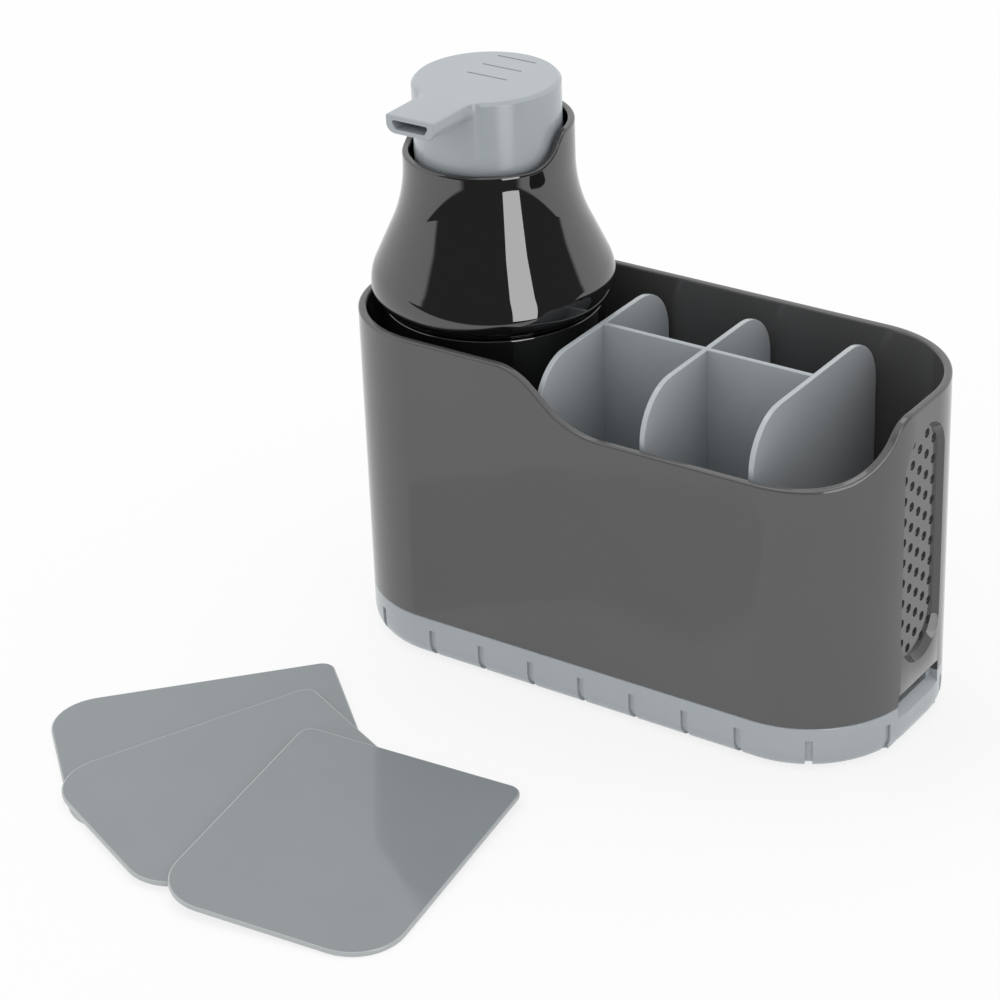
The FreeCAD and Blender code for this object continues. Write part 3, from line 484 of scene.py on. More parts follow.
def geometry_tree(name, **inputs):
    """A geometry node tree with named inputs; gives the tree, its input and its output node."""
    tree = bpy.data.node_groups.new(name, "GeometryNodeTree")
    tree.is_modifier = True
    for label, kind in {"Geometry": "Geometry", **inputs}.items():
        tree.interface.new_socket(label, in_out="INPUT", socket_type="NodeSocket" + kind)
    tree.interface.new_socket("Geometry", in_out="OUTPUT", socket_type="NodeSocketGeometry")
    return tree, tree.nodes.new("NodeGroupInput"), tree.nodes.new("NodeGroupOutput")


def tree_node(tree, kind, links=None, **settings):
    """A node with its settings and its inputs, each a socket to link or a plain value."""
    node = tree.nodes.new(kind)
    for key, value in settings.items():
        setattr(node, key, value)
    for key, value in (links or {}).items():
        if isinstance(value, bpy.types.NodeSocket):
            tree.links.new(value, node.inputs[key])
        else:
            node.inputs[key].default_value = value
    return node


def math_node(tree, operation, first, second):
    """One step of arithmetic on two inputs."""
    return tree_node(tree, "ShaderNodeMath", {0: first, 1: second}, operation=operation).outputs[0]


def ramp(tree, value, start, end, first, last, **settings):
    """Carries a value from the range start to end over to the range first to last."""
    return tree_node(tree, "ShaderNodeMapRange", {
        "Value": value, "From Min": start, "From Max": end, "To Min": first, "To Max": last},
        **settings).outputs["Result"]


def between(tree, factor, first, second):
    """A value from first at factor 0 to second at factor 1."""
    return tree_node(tree, "ShaderNodeMix", {0: factor, 2: first, 3: second}).outputs[0]


def distance_along(tree, place, direction):
    """How far a place lies along a direction."""
    return tree_node(tree, "ShaderNodeVectorMath", {0: place, 1: direction},
                     operation="DOT_PRODUCT").outputs["Value"]


def finish_tree(tree, geometry, source, output):
    """End a tree: real copies, clad in the material."""
    real = tree_node(tree, "GeometryNodeRealizeInstances", {"Geometry": geometry})
    clad = tree_node(tree, "GeometryNodeSetMaterial",
                     {"Geometry": real.outputs["Geometry"], "Material": source.outputs["Material"]})
    tree.links.new(clad.outputs["Geometry"], output.inputs["Geometry"])


def grow(piece, tree, values):
    """Run a node tree on a piece with its named values and keep the plain mesh."""
    change = piece.modifiers.new(tree.name, "NODES")
    change.node_group = tree
    sockets = {s.name: s.identifier for s in tree.interface.items_tree if s.in_out == "INPUT"}
    for label, value in values.items():
        change[sockets[label]] = value
    plain_mesh(piece)
    return piece


def set_out_tree():
    """Copies of one tool on the points of a mesh, each turned by its point's turn attribute."""
    tree, source, output = geometry_tree("set_out", Tool="Object", Material="Material")
    tool = tree_node(tree, "GeometryNodeObjectInfo", {"Object": source.outputs["Tool"]})
    turn = tree_node(tree, "GeometryNodeInputNamedAttribute", {"Name": "turn"}, data_type="FLOAT")
    rotation = tree_node(tree, "ShaderNodeCombineXYZ", {"Z": turn.outputs["Attribute"]})
    copies = tree_node(tree, "GeometryNodeInstanceOnPoints", {
        "Points": source.outputs["Geometry"], "Instance": tool.outputs["Geometry"],
        "Rotation": rotation.outputs["Vector"]})
    finish_tree(tree, copies.outputs["Instances"], source, output)
    return tree


def set_out(name, tool, places, material):
    """Copies of a tool at (x, y, z, turn) places as one mesh."""
    mesh = bpy.data.meshes.new(name)
    mesh.from_pydata([place[:3] for place in places], [], [])
    turns = mesh.attributes.new("turn", "FLOAT", "POINT")
    turns.data.foreach_set("value", [place[3] for place in places])
    points = add_object(name, mesh)
    grow(points, node_group("set_out", set_out_tree), {"Tool": tool, "Material": material})
    bpy.data.objects.remove(tool)
    return points


def perforation_tree():
    """Two interleaved grids of pins, the long columns between the short ones."""
    tree, source, output = geometry_tree(
        "perforation", Radius="Float", Depth="Float", Columns="Float", Rows="Float", Count="Int",
        Place="Vector", Material="Material")
    grids = []
    for columns, fewer in ((2, 0), (3, 1)):
        count = math_node(tree, "SUBTRACT", source.outputs["Count"], float(fewer))
        steps = math_node(tree, "SUBTRACT", count, 1.0)
        run = math_node(tree, "MULTIPLY", steps, source.outputs["Rows"])
        width = math_node(tree, "MULTIPLY", source.outputs["Columns"], 2.0 * (columns - 1))
        grid = tree_node(tree, "GeometryNodeMeshGrid", {
            "Size X": run, "Size Y": width, "Vertices X": count, "Vertices Y": columns})
        grids.append(grid.outputs["Mesh"])
    both = tree_node(tree, "GeometryNodeJoinGeometry")
    for grid in grids:
        tree.links.new(grid, both.inputs["Geometry"])
    pin = tree_node(tree, "GeometryNodeMeshCylinder", {
        "Vertices": DRAIN_STEPS, "Radius": source.outputs["Radius"], "Depth": source.outputs["Depth"]})
    pins = tree_node(tree, "GeometryNodeInstanceOnPoints", {
        "Points": both.outputs["Geometry"], "Instance": pin.outputs["Mesh"]})
    upright = tree_node(tree, "GeometryNodeTransform", {
        "Geometry": pins.outputs["Instances"], "Translation": source.outputs["Place"],
        "Rotation": (0.0, math.radians(90), 0.0)})
    finish_tree(tree, upright.outputs["Geometry"], source, output)
    return tree


def coil_tree():
    """A round wire along a spiral."""
    tree, source, output = geometry_tree(
        "coil", Radius="Float", Wire="Float", Height="Float", Turns="Float", Place="Vector",
        Material="Material")
    spiral = tree_node(tree, "GeometryNodeCurveSpiral", {
        "Resolution": COIL_STEPS, "Rotations": source.outputs["Turns"],
        "Start Radius": source.outputs["Radius"], "End Radius": source.outputs["Radius"],
        "Height": source.outputs["Height"]})
    section = tree_node(tree, "GeometryNodeCurvePrimitiveCircle", {
        "Resolution": WIRE_STEPS, "Radius": source.outputs["Wire"]})
    wire = tree_node(tree, "GeometryNodeCurveToMesh", {
        "Curve": spiral.outputs["Curve"], "Profile Curve": section.outputs["Curve"],
        "Fill Caps": True})
    placed = tree_node(tree, "GeometryNodeTransform", {
        "Geometry": wire.outputs["Mesh"], "Translation": source.outputs["Place"]})
    finish_tree(tree, placed.outputs["Geometry"], source, output)
    return tree


def node_group(name, make):
    """The named node group, made on first use."""
    return bpy.data.node_groups.get(name) or make()


def empty_mesh(name):
    """An object for a node tree to fill."""
    return add_object(name, bpy.data.meshes.new(name))


# Plastics

def moulding_group():
    """Moulded plastic: cloudy tone, fine spark grain, slow ripple and a few dust specks."""
    group = bpy.data.node_groups.new("moulding", "ShaderNodeTree")
    for way, labels in (("INPUT", ("Grain Scale", "Ripple Scale", "Grain", "Ripple", "Specks")),
                        ("OUTPUT", ("Tone", "Gloss", "Height", "Dust"))):
        for label in labels:
            group.interface.new_socket(label, in_out=way, socket_type="NodeSocketFloat")
    source, output = group.nodes.new("NodeGroupInput"), group.nodes.new("NodeGroupOutput")
    place = tree_node(group, "ShaderNodeTexCoord").outputs["Object"]

    def noise(scale, detail, roughness):
        return tree_node(group, "ShaderNodeTexNoise", {
            "Vector": place, "Scale": scale, "Detail": detail,
            "Roughness": roughness}).outputs["Fac"]

    cloud = noise(32.0, 3.0, 0.55)
    grain = noise(source.outputs["Grain Scale"], 2.0, 0.6)
    ripple = noise(source.outputs["Ripple Scale"], 1.0, 0.4)
    smear = noise(140.0, 4.0, 0.65)
    cells = tree_node(group, "ShaderNodeTexVoronoi", {
        "Vector": place, "Scale": 190.0, "Randomness": 1.0})
    near = ramp(group, cells.outputs["Distance"], 0.02, 0.07, 1.0, 0.0)
    chance = tree_node(group, "ShaderNodeSeparateColor", {"Color": cells.outputs["Color"]})
    rare = math_node(group, "GREATER_THAN", chance.outputs["Red"], 0.86)
    specks = math_node(group, "MULTIPLY", near, rare)
    dust = math_node(group, "MULTIPLY", specks, source.outputs["Specks"])
    height = math_node(group, "ADD",
                       math_node(group, "MULTIPLY", grain, source.outputs["Grain"]),
                       math_node(group, "MULTIPLY", ripple, source.outputs["Ripple"]))
    for label, value in (("Tone", cloud), ("Gloss", smear), ("Height", height), ("Dust", dust)):
        group.links.new(value, output.inputs[label])
    return group


def mixed(tree, factor, first, second):
    """A colour between two, each a socket or a plain (r, g, b)."""
    ends = [end if isinstance(end, bpy.types.NodeSocket) else (*end, 1) for end in (first, second)]
    return tree_node(tree, "ShaderNodeMix", {0: factor, 6: ends[0], 7: ends[1]},
                     data_type="RGBA").outputs[2]


def plastic(name, base, roughness, tone, bump, depth, dust_tone=0.05, edge_tone=0.12,
            grain_scale=2200.0, ripple_scale=45.0, grain=0.3, ripple=0.7, specks=0.5, **sockets):
    """A moulded plastic: base colour, a (smooth, dull) roughness pair, the moulding's marks and a painted
    highlight on points marked edge.
    """
    made = bpy.data.materials.new(name + "_finish")
    made.use_nodes = True
    tree = made.node_tree
    shader = tree.nodes["Principled BSDF"]
    marks = tree_node(tree, "ShaderNodeGroup", {
        "Grain Scale": grain_scale, "Ripple Scale": ripple_scale, "Grain": grain,
        "Ripple": ripple, "Specks": specks}, node_tree=node_group("moulding", moulding_group))
    low, high = [[c * (1 + tone * side) for c in base] for side in (-1, 1)]
    cloud = mixed(tree, marks.outputs["Tone"], low, high)
    dusty = mixed(tree, marks.outputs["Dust"], cloud, [min(c + dust_tone, 1) for c in base])
    # Painted highlight: points marked edge are lightened toward white.
    edge = tree_node(tree, "ShaderNodeAttribute", attribute_name="edge").outputs["Fac"]
    highlighted = mixed(tree, edge, dusty, [c + (1 - c) * edge_tone for c in base])
    tree.links.new(highlighted, shader.inputs["Base Color"])
    rough = ramp(tree, marks.outputs["Gloss"], 0.3, 0.7, *roughness)
    tree.links.new(rough, shader.inputs["Roughness"])
    relief = tree_node(tree, "ShaderNodeBump", {
        "Strength": bump, "Distance": depth * MM, "Height": marks.outputs["Height"]})
    tree.links.new(relief.outputs["Normal"], shader.inputs["Normal"])
    for label, value in sockets.items():
        shader.inputs[label.replace("_", " ").title().replace("Ior", "IOR")].default_value = value
    return made


# Each slot's (smooth, dull) roughness and its marks; depth is the relief in millimetres.
FINISHES = {
    "grey_satin": ((0.16, 0.24), dict(
        tone=0.04, bump=0.25, depth=0.04, grain=0.8, ripple=0.4)),
    # The loose plates get the strongest painted edge highlight.
    "plate_grey": ((0.05, 0.09), dict(
        tone=0.05, bump=0.3, depth=0.12, ripple_scale=24.0, grain=0.02, ripple=0.9,
        edge_tone=0.25)),
    "dark_gloss": ((0.06, 0.10), dict(
        tone=0.04, bump=0.1, depth=0.06, ripple_scale=30.0, grain=0.05, ripple=0.9,
        dust_tone=0.03, ior=1.55)),
    "black_gloss": ((0.012, 0.03), dict(
        tone=0.05, bump=0.2, depth=0.08, ripple_scale=40.0, grain=0.01, ripple=0.9,
        dust_tone=0.01, ior=1.95)),
    "natural_plastic": ((0.35, 0.5), dict(
        tone=0.03, bump=0.2, depth=0.04, subsurface_weight=0.15, subsurface_scale=0.004)),
    "seal_rubber": ((0.6, 0.8), dict(
        tone=0.1, bump=0.4, depth=0.05, grain=0.9, ripple=0.3, specks=1.0)),
    "spring_steel": ((0.18, 0.30), dict(
        tone=0.06, bump=0.2, depth=0.02, grain_scale=3000.0, specks=0.0, metallic=1.0)),
}


def finish(name):
    """The named slot's finish, made on first use from the scene's colours."""
    made = bpy.data.materials.get(name + "_finish")
    if made:
        return made
    roughness, marks = FINISHES[name]
    return plastic(name, getattr(bpy.context.scene.caddy_colours, name), roughness, **marks)


def hand_over(piece, node, body, name):
    """Give a finished piece its material, its smoothness and its CAD node's place in the frame."""
    piece.name = node + "_finished"
    mesh = piece.data
    mesh.materials.clear()
    mesh.materials.append(finish(name))
    mesh.shade_smooth()
    mesh.set_sharp_from_angle(angle=SHARP_ANGLE)
    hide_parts(node)
    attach(piece, body)


def bottle_axis():
    """Where the upright axis of bottle and pump stands along the caddy."""
    low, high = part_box("bottle_bell")
    return (low.x + high.x) / 2


def body_columns(spacing):
    """The caddy's outer outline, with its half length, half width and corner radius."""
    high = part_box("caddy_body")[1]
    corner = high.y - bpy.context.scene.caddy_body.end_flat / 2
    return round_columns(high.x, high.y, corner, spacing), high.x, high.y, corner


# Pieces

class CADDY_OT_drip_tray(bpy.types.Operator):
    """Grey tray with soft foot, upright notches, locating lip and thumb pocket"""
    bl_idname = "caddy.drip_tray"
    bl_label = "Drip Tray"

    def execute(self, context):
        tray, body = context.scene.caddy_tray, context.scene.caddy_body
        columns, half_length, half_width, corner = body_columns(COARSE_SPACING)
        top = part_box("drip_tray")[1].z
        inner = tray.lip_inset + tray.lip_thickness
        deep = tray.foot_round * 3
        rows = rounded(
            [(deep, 0), (0, 0), (0, tray.side_height), (tray.lip_inset, tray.side_height),
             (tray.lip_inset, top), (inner, top), (inner, tray.floor), (deep, tray.floor)],
            [0, tray.foot_round, body.seam_round, tray.lip_foot_round, tray.lip_round,
             tray.lip_round, tray.floor_round, 0],
            closed=False)
        piece = wall_round("drip_tray", columns, rows)
        half = body.grip_width / 2
        block = half + tray.block_margin
        face = half_length - body.grip_depth
        carve(piece, box_tool("pocket_block", (face - tray.block_thickness, -block, tray.floor / 2),
                              (half_length - inner / 2, block, tray.side_height - body.seam_round)),
              "UNION")
        gap = box_tool("lip_gap", (half_length - corner / 2, -block, tray.side_height),
                       (half_length + inner, block, top + inner))
        carve(piece, joined("tray_cuts", [gap, self.notches(tray, half_length, half_width, corner)]))
        ledge = tray.side_height - tray.ledge_drop
        lower, outside = ledge - tray.ledge_slope, half_length + inner
        wedge = [(face, ledge), (half_length, lower), (outside, lower), (outside, top + inner),
                 (face, top + inner)]
        carve(piece, prism("thumb_pocket", wedge, -half, half, lambda u, v, d: (u, d, v)))
        slit = body.slit_width / 2
        carve(piece, box_tool("finger_slit", (face - inner * 2, -slit, ledge),
                              (half_length, slit, top + inner)))
        hand_over(piece, "drip_tray", "tray", "grey_satin")
        return {"FINISHED"}

    def notches(self, tray, half_length, half_width, corner):
        """Cutters for the upright notches, round the sides and both ends."""
        depth, foot = tray.notch_depth, tray.foot_round
        quarter, beyond = corner - foot, corner + foot
        inner = quarter - tray.notch_reach
        outline = [(inner, -foot), (beyond, -foot), (beyond, tray.notch_height),
                   (corner - depth, tray.notch_height), (corner - depth, foot),
                   *arc((corner - depth, foot), (quarter, depth), foot - depth, -1),
                   (inner, depth)]
        half = tray.notch_width / 2
        tool = prism("notch", outline, -half, half, lambda u, v, d: (u, d, v))
        flat_x, flat_y = half_length - corner, half_width - corner
        count = int(flat_x / tray.notch_pitch)
        places = []
        for side in (-1, 1):
            for step in range(-count, count + 1):
                places.append((tray.notch_pitch * step, flat_y * side, 0, math.pi / 2 * side))
            for bend in (tray.notch_near, tray.notch_far):
                for end in (-1, 1):
                    places.append((flat_x * end, flat_y * side, 0,
                                   (math.pi / 2 - bend * end) * side))
        return set_out("notches", tool, places, finish("grey_satin"))


class CADDY_OT_caddy_body(bpy.types.Operator):
    """Dark glossy body with the scooped rim, perforated end panel, drains and thumb recess"""
    bl_idname = "caddy.caddy_body"
    bl_label = "Caddy Body"

    # Where the drains lie along the caddy, in cells from the first cross wall.
    drain_shares = (0.25, 0.75, 1.25, 1.75, 2.3)
    # The panel's flared mouth in shares of its size: how far out, and how deep below the wall's face.
    mouth_rows = ((0, 2), (0.3, 1.3), (1, 0))
    # Points round a quarter turn of the panel's ends.
    panel_steps = 24

    def execute(self, context):
        body, tray = context.scene.caddy_body, context.scene.caddy_tray
        columns, half_length, half_width, corner = body_columns(FINE_SPACING)
        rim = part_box("caddy_body")[1].z
        seam = tray.side_height
        deep = body.wall * 3
        rows = rounded(
            [(deep, body.floor_foot), (body.wall, body.floor_foot), (body.wall, seam), (0, seam),
             (0, rim), (body.wall, rim), (body.wall, body.floor_top), (deep, body.floor_top)],
            [0, body.under_round, body.skirt_round, body.seam_round, body.rim_round,
             body.rim_round, body.floor_round, 0],
            closed=False)
        heights = self.rim_rule(body, rim, half_length, half_width, corner)
        lowest = rim - body.rim_round * 2

        def settle(x, y, height):
            return height - rim + heights(x, y) if height > lowest else height

        piece = wall_round("caddy_body", columns, rows, settle)
        face = half_length - body.panel_recess
        half = body.panel_width / 2
        carve(piece, joined("inner_forms", [
            self.stadium("panel_back", half + body.panel_margin, body.panel_foot - body.panel_margin,
                         body.panel_top + body.panel_margin, face - body.panel_thickness,
                         face + body.panel_recess / 3),
            self.seat(body)]), "UNION")
        mouth = body.rim_round / 2
        carve(piece, joined("end_cuts", [
            self.stadium("panel_front", half, body.panel_foot, body.panel_top, face,
                         half_length + mouth, mouth, body.panel_slope),
            self.grip(body, seam, half_length)]))
        carve(piece, joined("through_cuts", [
            self.perforation(body, face),
            self.drains(body),
            box_tool("slit", (half_length - body.grip_depth - body.wall, -body.slit_width / 2,
                              seam - body.wall),
                     (half_length + body.wall, body.slit_width / 2, seam + body.slit_height))]))
        hand_over(piece, "caddy_body", "caddy", "dark_gloss")
        return {"FINISHED"}

    def rim_rule(self, body, rim, half_length, half_width, corner):
        """The rim's height over a place: the front dip, then the climb round the right corner."""
        low = rim - body.dip_depth
        dip = swept_step(low, rim, -body.dip_start, body.dip_foot_radius, body.dip_top_radius,
                         body.dip_angle)
        climb, foot = body.climb_angle, body.climb_foot_radius
        crest = body.dip_depth / (1 - math.cos(climb)) - foot
        end = body.wall - half_width + (foot + crest) * math.sin(climb)
        climbed = swept_step(low, rim, end, foot, crest, climb)

        def height(x, y):
            if y > 0:
                return rim
            return climbed(y) if x > half_length - corner else dip(-x)

        return height

    def stadium(self, name, half, foot, top, low, high, mouth=0.0, slope=0.0):
        """An upright plate with half-round ends; slope narrows its inner end, mouth flares the outer."""
        rows = [(0, low), (0, high)]
        if mouth:
            rows = [(-slope, low)]
            rows += [(mouth * out, high - mouth * deep) for out, deep in self.mouth_rows]
        rings = []
        for flare, depth in rows:
            outline = four_corners(half, foot, top, half, half, -flare, self.panel_steps)
            rings.append([(depth, u, v) for u, v in outline])
        return skin(name, rings)

    def seat(self, body):
        """The ring on the floor that the reservoir stands in."""
        inner, outer = body.seat_radius, body.seat_radius + body.seat_wall
        foot, top = body.floor_top - body.wall / 3, body.floor_top + body.seat_height
        outline = rounded([(inner, foot), (outer, foot), (outer, top), (inner, top)],
                          [0, 0, body.seat_round, body.seat_round])
        return turned("bottle_seat", outline, bottle_axis())

    def grip(self, body, seam, half_length):
        """The slanted cutter of the thumb recess above the seam."""
        face, outside = half_length - body.grip_depth, half_length + body.wall
        top = seam + body.grip_height
        wedge = [(face, seam - body.wall), (outside, seam - body.wall), (outside, top),
                 (half_length, top), (face, seam)]
        half = body.grip_width / 2
        return prism("grip", wedge, -half, half, lambda u, v, d: (u, d, v))

    def perforation(self, body, face):
        """The pins that cut the panel's holes."""
        middle = (body.panel_foot + body.panel_top) / 2
        return grow(empty_mesh("perforation"), node_group("perforation", perforation_tree), {
            "Radius": body.hole_radius, "Depth": body.panel_thickness * 4,
            "Columns": body.hole_columns, "Rows": body.hole_rows, "Count": body.hole_count,
            "Place": (face, 0.0, middle), "Material": finish("dark_gloss")})

    def drains(self, body):
        """The pins that cut the drains, two in each cell and one on each side behind the last wall."""
        low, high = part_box("divider_insert")
        thick = bpy.context.scene.caddy_divider.thickness
        first, pitch = low.x + thick / 2, (high.x - low.x - thick) / CELLS
        radius, foot, top = body.drain_radius, body.floor_foot - body.wall, body.floor_top + body.wall
        tool = turned("drain", [(0, foot), (radius, foot), (radius, top), (0, top)], 0, DRAIN_STEPS)
        places = [(first + pitch * share, body.drain_aside * side, 0, 0)
                  for share in self.drain_shares for side in (-1, 1)]
        return set_out("drains", tool, places, finish("dark_gloss"))


class CADDY_OT_divider_insert(bpy.types.Operator):
    """Moulded insert of one long wall and three cross walls with round upper corners"""
    bl_idname = "caddy.divider_insert"
    bl_label = "Divider Insert"

    # Points round the long wall's small corners.
    corner_steps = 2

    def execute(self, context):
        sizes = context.scene.caddy_divider
        low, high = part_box("divider_insert")
        thick, soft = sizes.thickness, sizes.edge_round
        pitch = (high.x - low.x - thick) / CELLS
        walls = []
        for step in range(CELLS + 1):
            start = low.x + pitch * step
            walls.append(soft_plate(
                "cross_wall", lambda inset: four_corners(
                    high.y, low.z, high.z, sizes.foot_round, sizes.top_round, inset),
                thick, soft, lambda u, v, d, start=start: (start + d, u, v)))
        middle, half = (low.x + high.x) / 2, (high.x - low.x - thick) / 2
        piece = soft_plate(
            "divider_insert", lambda inset: four_corners(half, low.z, high.z, soft, soft, inset,
                                                         self.corner_steps),
            thick, soft, lambda u, v, d: (middle + u, d - thick / 2, v))
        carve(piece, joined("cross_walls", walls), "UNION")
        hand_over(piece, "divider_insert", "dividers", "grey_satin")
        return {"FINISHED"}


class CADDY_OT_loose_plates(bpy.types.Operator):
    """Three flat plates fanned on the table, each with two large and two small corners"""
    bl_idname = "caddy.loose_plates"
    bl_label = "Loose Plates"

    # Place in millimetres and turn, pitch and roll in degrees, as the solids lie.
    lay = {
        "back": ((-97.2, -136.3, 0.0), (-42.2, 0.0, 0.0)),
        "middle": ((-70.8, -154.4, 1.82), (-24.3, 0.0, 0.0)),
        "front": ((-19.8, -163.7, 3.222), (7.6, 2.7335, 1.6958)),
    }

    def execute(self, context):
        sizes = context.scene.caddy_divider
        low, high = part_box("divider_insert")
        half_width, half_length = high.y, (high.z - low.z) / 2
        for name, (place, (turn, pitch, roll)) in self.lay.items():
            tilt = Euler([math.radians(a) for a in (roll, pitch, turn)], "XYZ").to_matrix()
            shift = Vector(place) * MM
            piece = soft_plate(
                name, lambda inset: four_corners(half_width, -half_length, half_length,
                                                 sizes.top_round, sizes.foot_round, inset),
                sizes.plate_thickness, sizes.plate_round,
                lambda u, v, d: tuple(tilt @ Vector((u, v, d)) + shift))
            hand_over(piece, "loose_plate_" + name, "plate_" + name, "plate_grey")
            # The plates stay out of the other pieces' reflections.
            piece.visible_glossy = False
        return {"FINISHED"}


class CADDY_OT_bottle(bpy.types.Operator):
    """Black bell with its scooped collar, the reservoir below and the ring that seals them"""
    bl_idname = "caddy.bottle"
    bl_label = "Bottle"

    # Points along the bell's outline: on each bend round its widest part, the flank and the sweep.
    bend_steps, flank_steps, sweep_steps = 14, 6, 24
    inner_bend_steps, inner_sweep_steps = 8, 16

    def execute(self, context):
        sizes = context.scene.caddy_bottle
        across = bottle_axis()
        self.bell(sizes, across)
        self.reservoir(sizes, across)
        low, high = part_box("bell_seal")
        wire, middle = (high.z - low.z) / 2, (high.z + low.z) / 2
        centre = (high.x - low.x) / 2 - wire
        turns = [math.tau * i / CIRCLE_STEPS for i in range(CIRCLE_STEPS)]
        circle = [(centre + wire * math.cos(t), middle + wire * math.sin(t)) for t in turns]
        hand_over(turned("bell_seal", circle, across), "bell_seal", "bell", "seal_rubber")
        return {"FINISHED"}

    def bell(self, sizes, across):
        """The bell's skin in one turn, outside up and inside down, with the deck that holds the pump."""
        low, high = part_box("bottle_bell")
        seal_low, seal_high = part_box("bell_seal")
        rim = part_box("soap_reservoir")[1].z
        widest = (high.x - low.x) / 2
        base = rim + sizes.base_gap
        collar, bore = widest - sizes.taper, widest - sizes.taper - sizes.collar_wall
        slope, turn, sweep = sizes.turn_angle, sizes.turn_radius, sizes.sweep_radius
        foot, wall = sizes.foot_round, sizes.skin
        cos, sin = math.cos(slope), math.sin(slope)
        wide = (widest, base + foot)
        flank = (widest - turn * (1 - cos), base + foot + turn * sin)
        neck_r = collar + sweep * (1 - cos)
        neck = (neck_r, flank[1] + (flank[0] - neck_r) * cos / sin)
        top = (collar, neck[1] + sweep * sin)
        side = [(widest - foot, base), *arc((widest - foot, base), wide, foot, 1, self.bend_steps),
                *arc(wide, flank, turn, 1, self.bend_steps)]
        side += [Vector(flank).lerp(Vector(neck), (i + 1) / self.flank_steps)
                 for i in range(self.flank_steps)]
        side += arc(neck, top, sweep, -1, self.sweep_steps)
        rim_rows = rounded([(collar, top[1]), (collar, high.z), (bore, high.z), (bore, top[1])],
                           sizes.collar_round, closed=False)[1:]
        inside = [(collar - wall, top[1]),
                  *arc((collar - wall, top[1]), (neck[0] - wall * cos, neck[1] - wall * sin),
                       sweep + wall, 1, self.inner_sweep_steps),
                  (flank[0] - wall * cos, flank[1] - wall * sin),
                  *arc((flank[0] - wall * cos, flank[1] - wall * sin), (widest - wall, wide[1]),
                       turn - wall, -1, self.inner_bend_steps),
                  (widest - wall, base + foot / 2), (widest - foot, base + wall)]
        plug, hollow = sizes.plug_radius, sizes.plug_radius - sizes.plug_wall
        groove = (seal_high.x - seal_low.x) / 2 - (seal_high.z - seal_low.z)
        plug_rows = rounded(
            [(hollow, base + wall), (hollow, low.z), (plug, low.z), (plug, seal_low.z),
             (groove, seal_low.z), (groove, seal_high.z), (plug, seal_high.z), (plug, base)],
            [0, sizes.plug_round, sizes.plug_round, sizes.plug_groove_round, 0, 0,
             sizes.plug_groove_round, 0], closed=False)
        scoop = self.scoop_rule(sizes, high.z)
        lowest = high.z - sizes.collar_round * 2

        def settle(y, height):
            return height - high.z + scoop(y) if height > lowest else height

        piece = turned("bottle_bell", side + rim_rows + inside + plug_rows, across, BELL_STEPS,
                       settle)
        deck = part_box("pump_closure")[0].z - sizes.deck_gap
        neck_bore, neck_out = sizes.neck_bore, sizes.neck_radius
        below = top[1] - deck
        throat = collar + sweep - math.sqrt(sweep ** 2 - below ** 2) - wall / 2
        under, neck_top = deck - wall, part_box("housing_gasket")[0].z
        floor = turned("deck", rounded(
            [(neck_bore, under), (throat, under), (throat, deck), (neck_out, deck),
             (neck_out, neck_top), (neck_bore, neck_top)], sizes.deck_round), across)
        carve(piece, floor, "UNION")
        hand_over(piece, "bottle_bell", "bell", "black_gloss")

    def scoop_rule(self, sizes, top):
        """The collar's height over a place along the spout: low in front, full behind."""
        slope, foot = sizes.scoop_angle, sizes.scoop_radius
        crest = sizes.scoop_depth / (1 - math.cos(slope)) - foot
        return swept_step(top - sizes.scoop_depth, top, sizes.scoop_back, foot, crest, slope)

    def reservoir(self, sizes, across):
        """The cup that holds the soap."""
        low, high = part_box("soap_reservoir")
        outer, bore = (high.x - low.x) / 2, (high.x - low.x) / 2 - sizes.reservoir_wall
        floor = low.z + sizes.reservoir_floor
        outline = rounded(
            [(0, low.z), (outer, low.z), (outer, high.z), (bore, high.z), (bore, floor), (0, floor)],
            [0, sizes.reservoir_round, sizes.reservoir_rim_round, sizes.reservoir_rim_round,
             sizes.reservoir_inner_round, 0])
        hand_over(turned("soap_reservoir", outline, across, CUP_STEPS), "soap_reservoir",
                  "reservoir", "black_gloss")


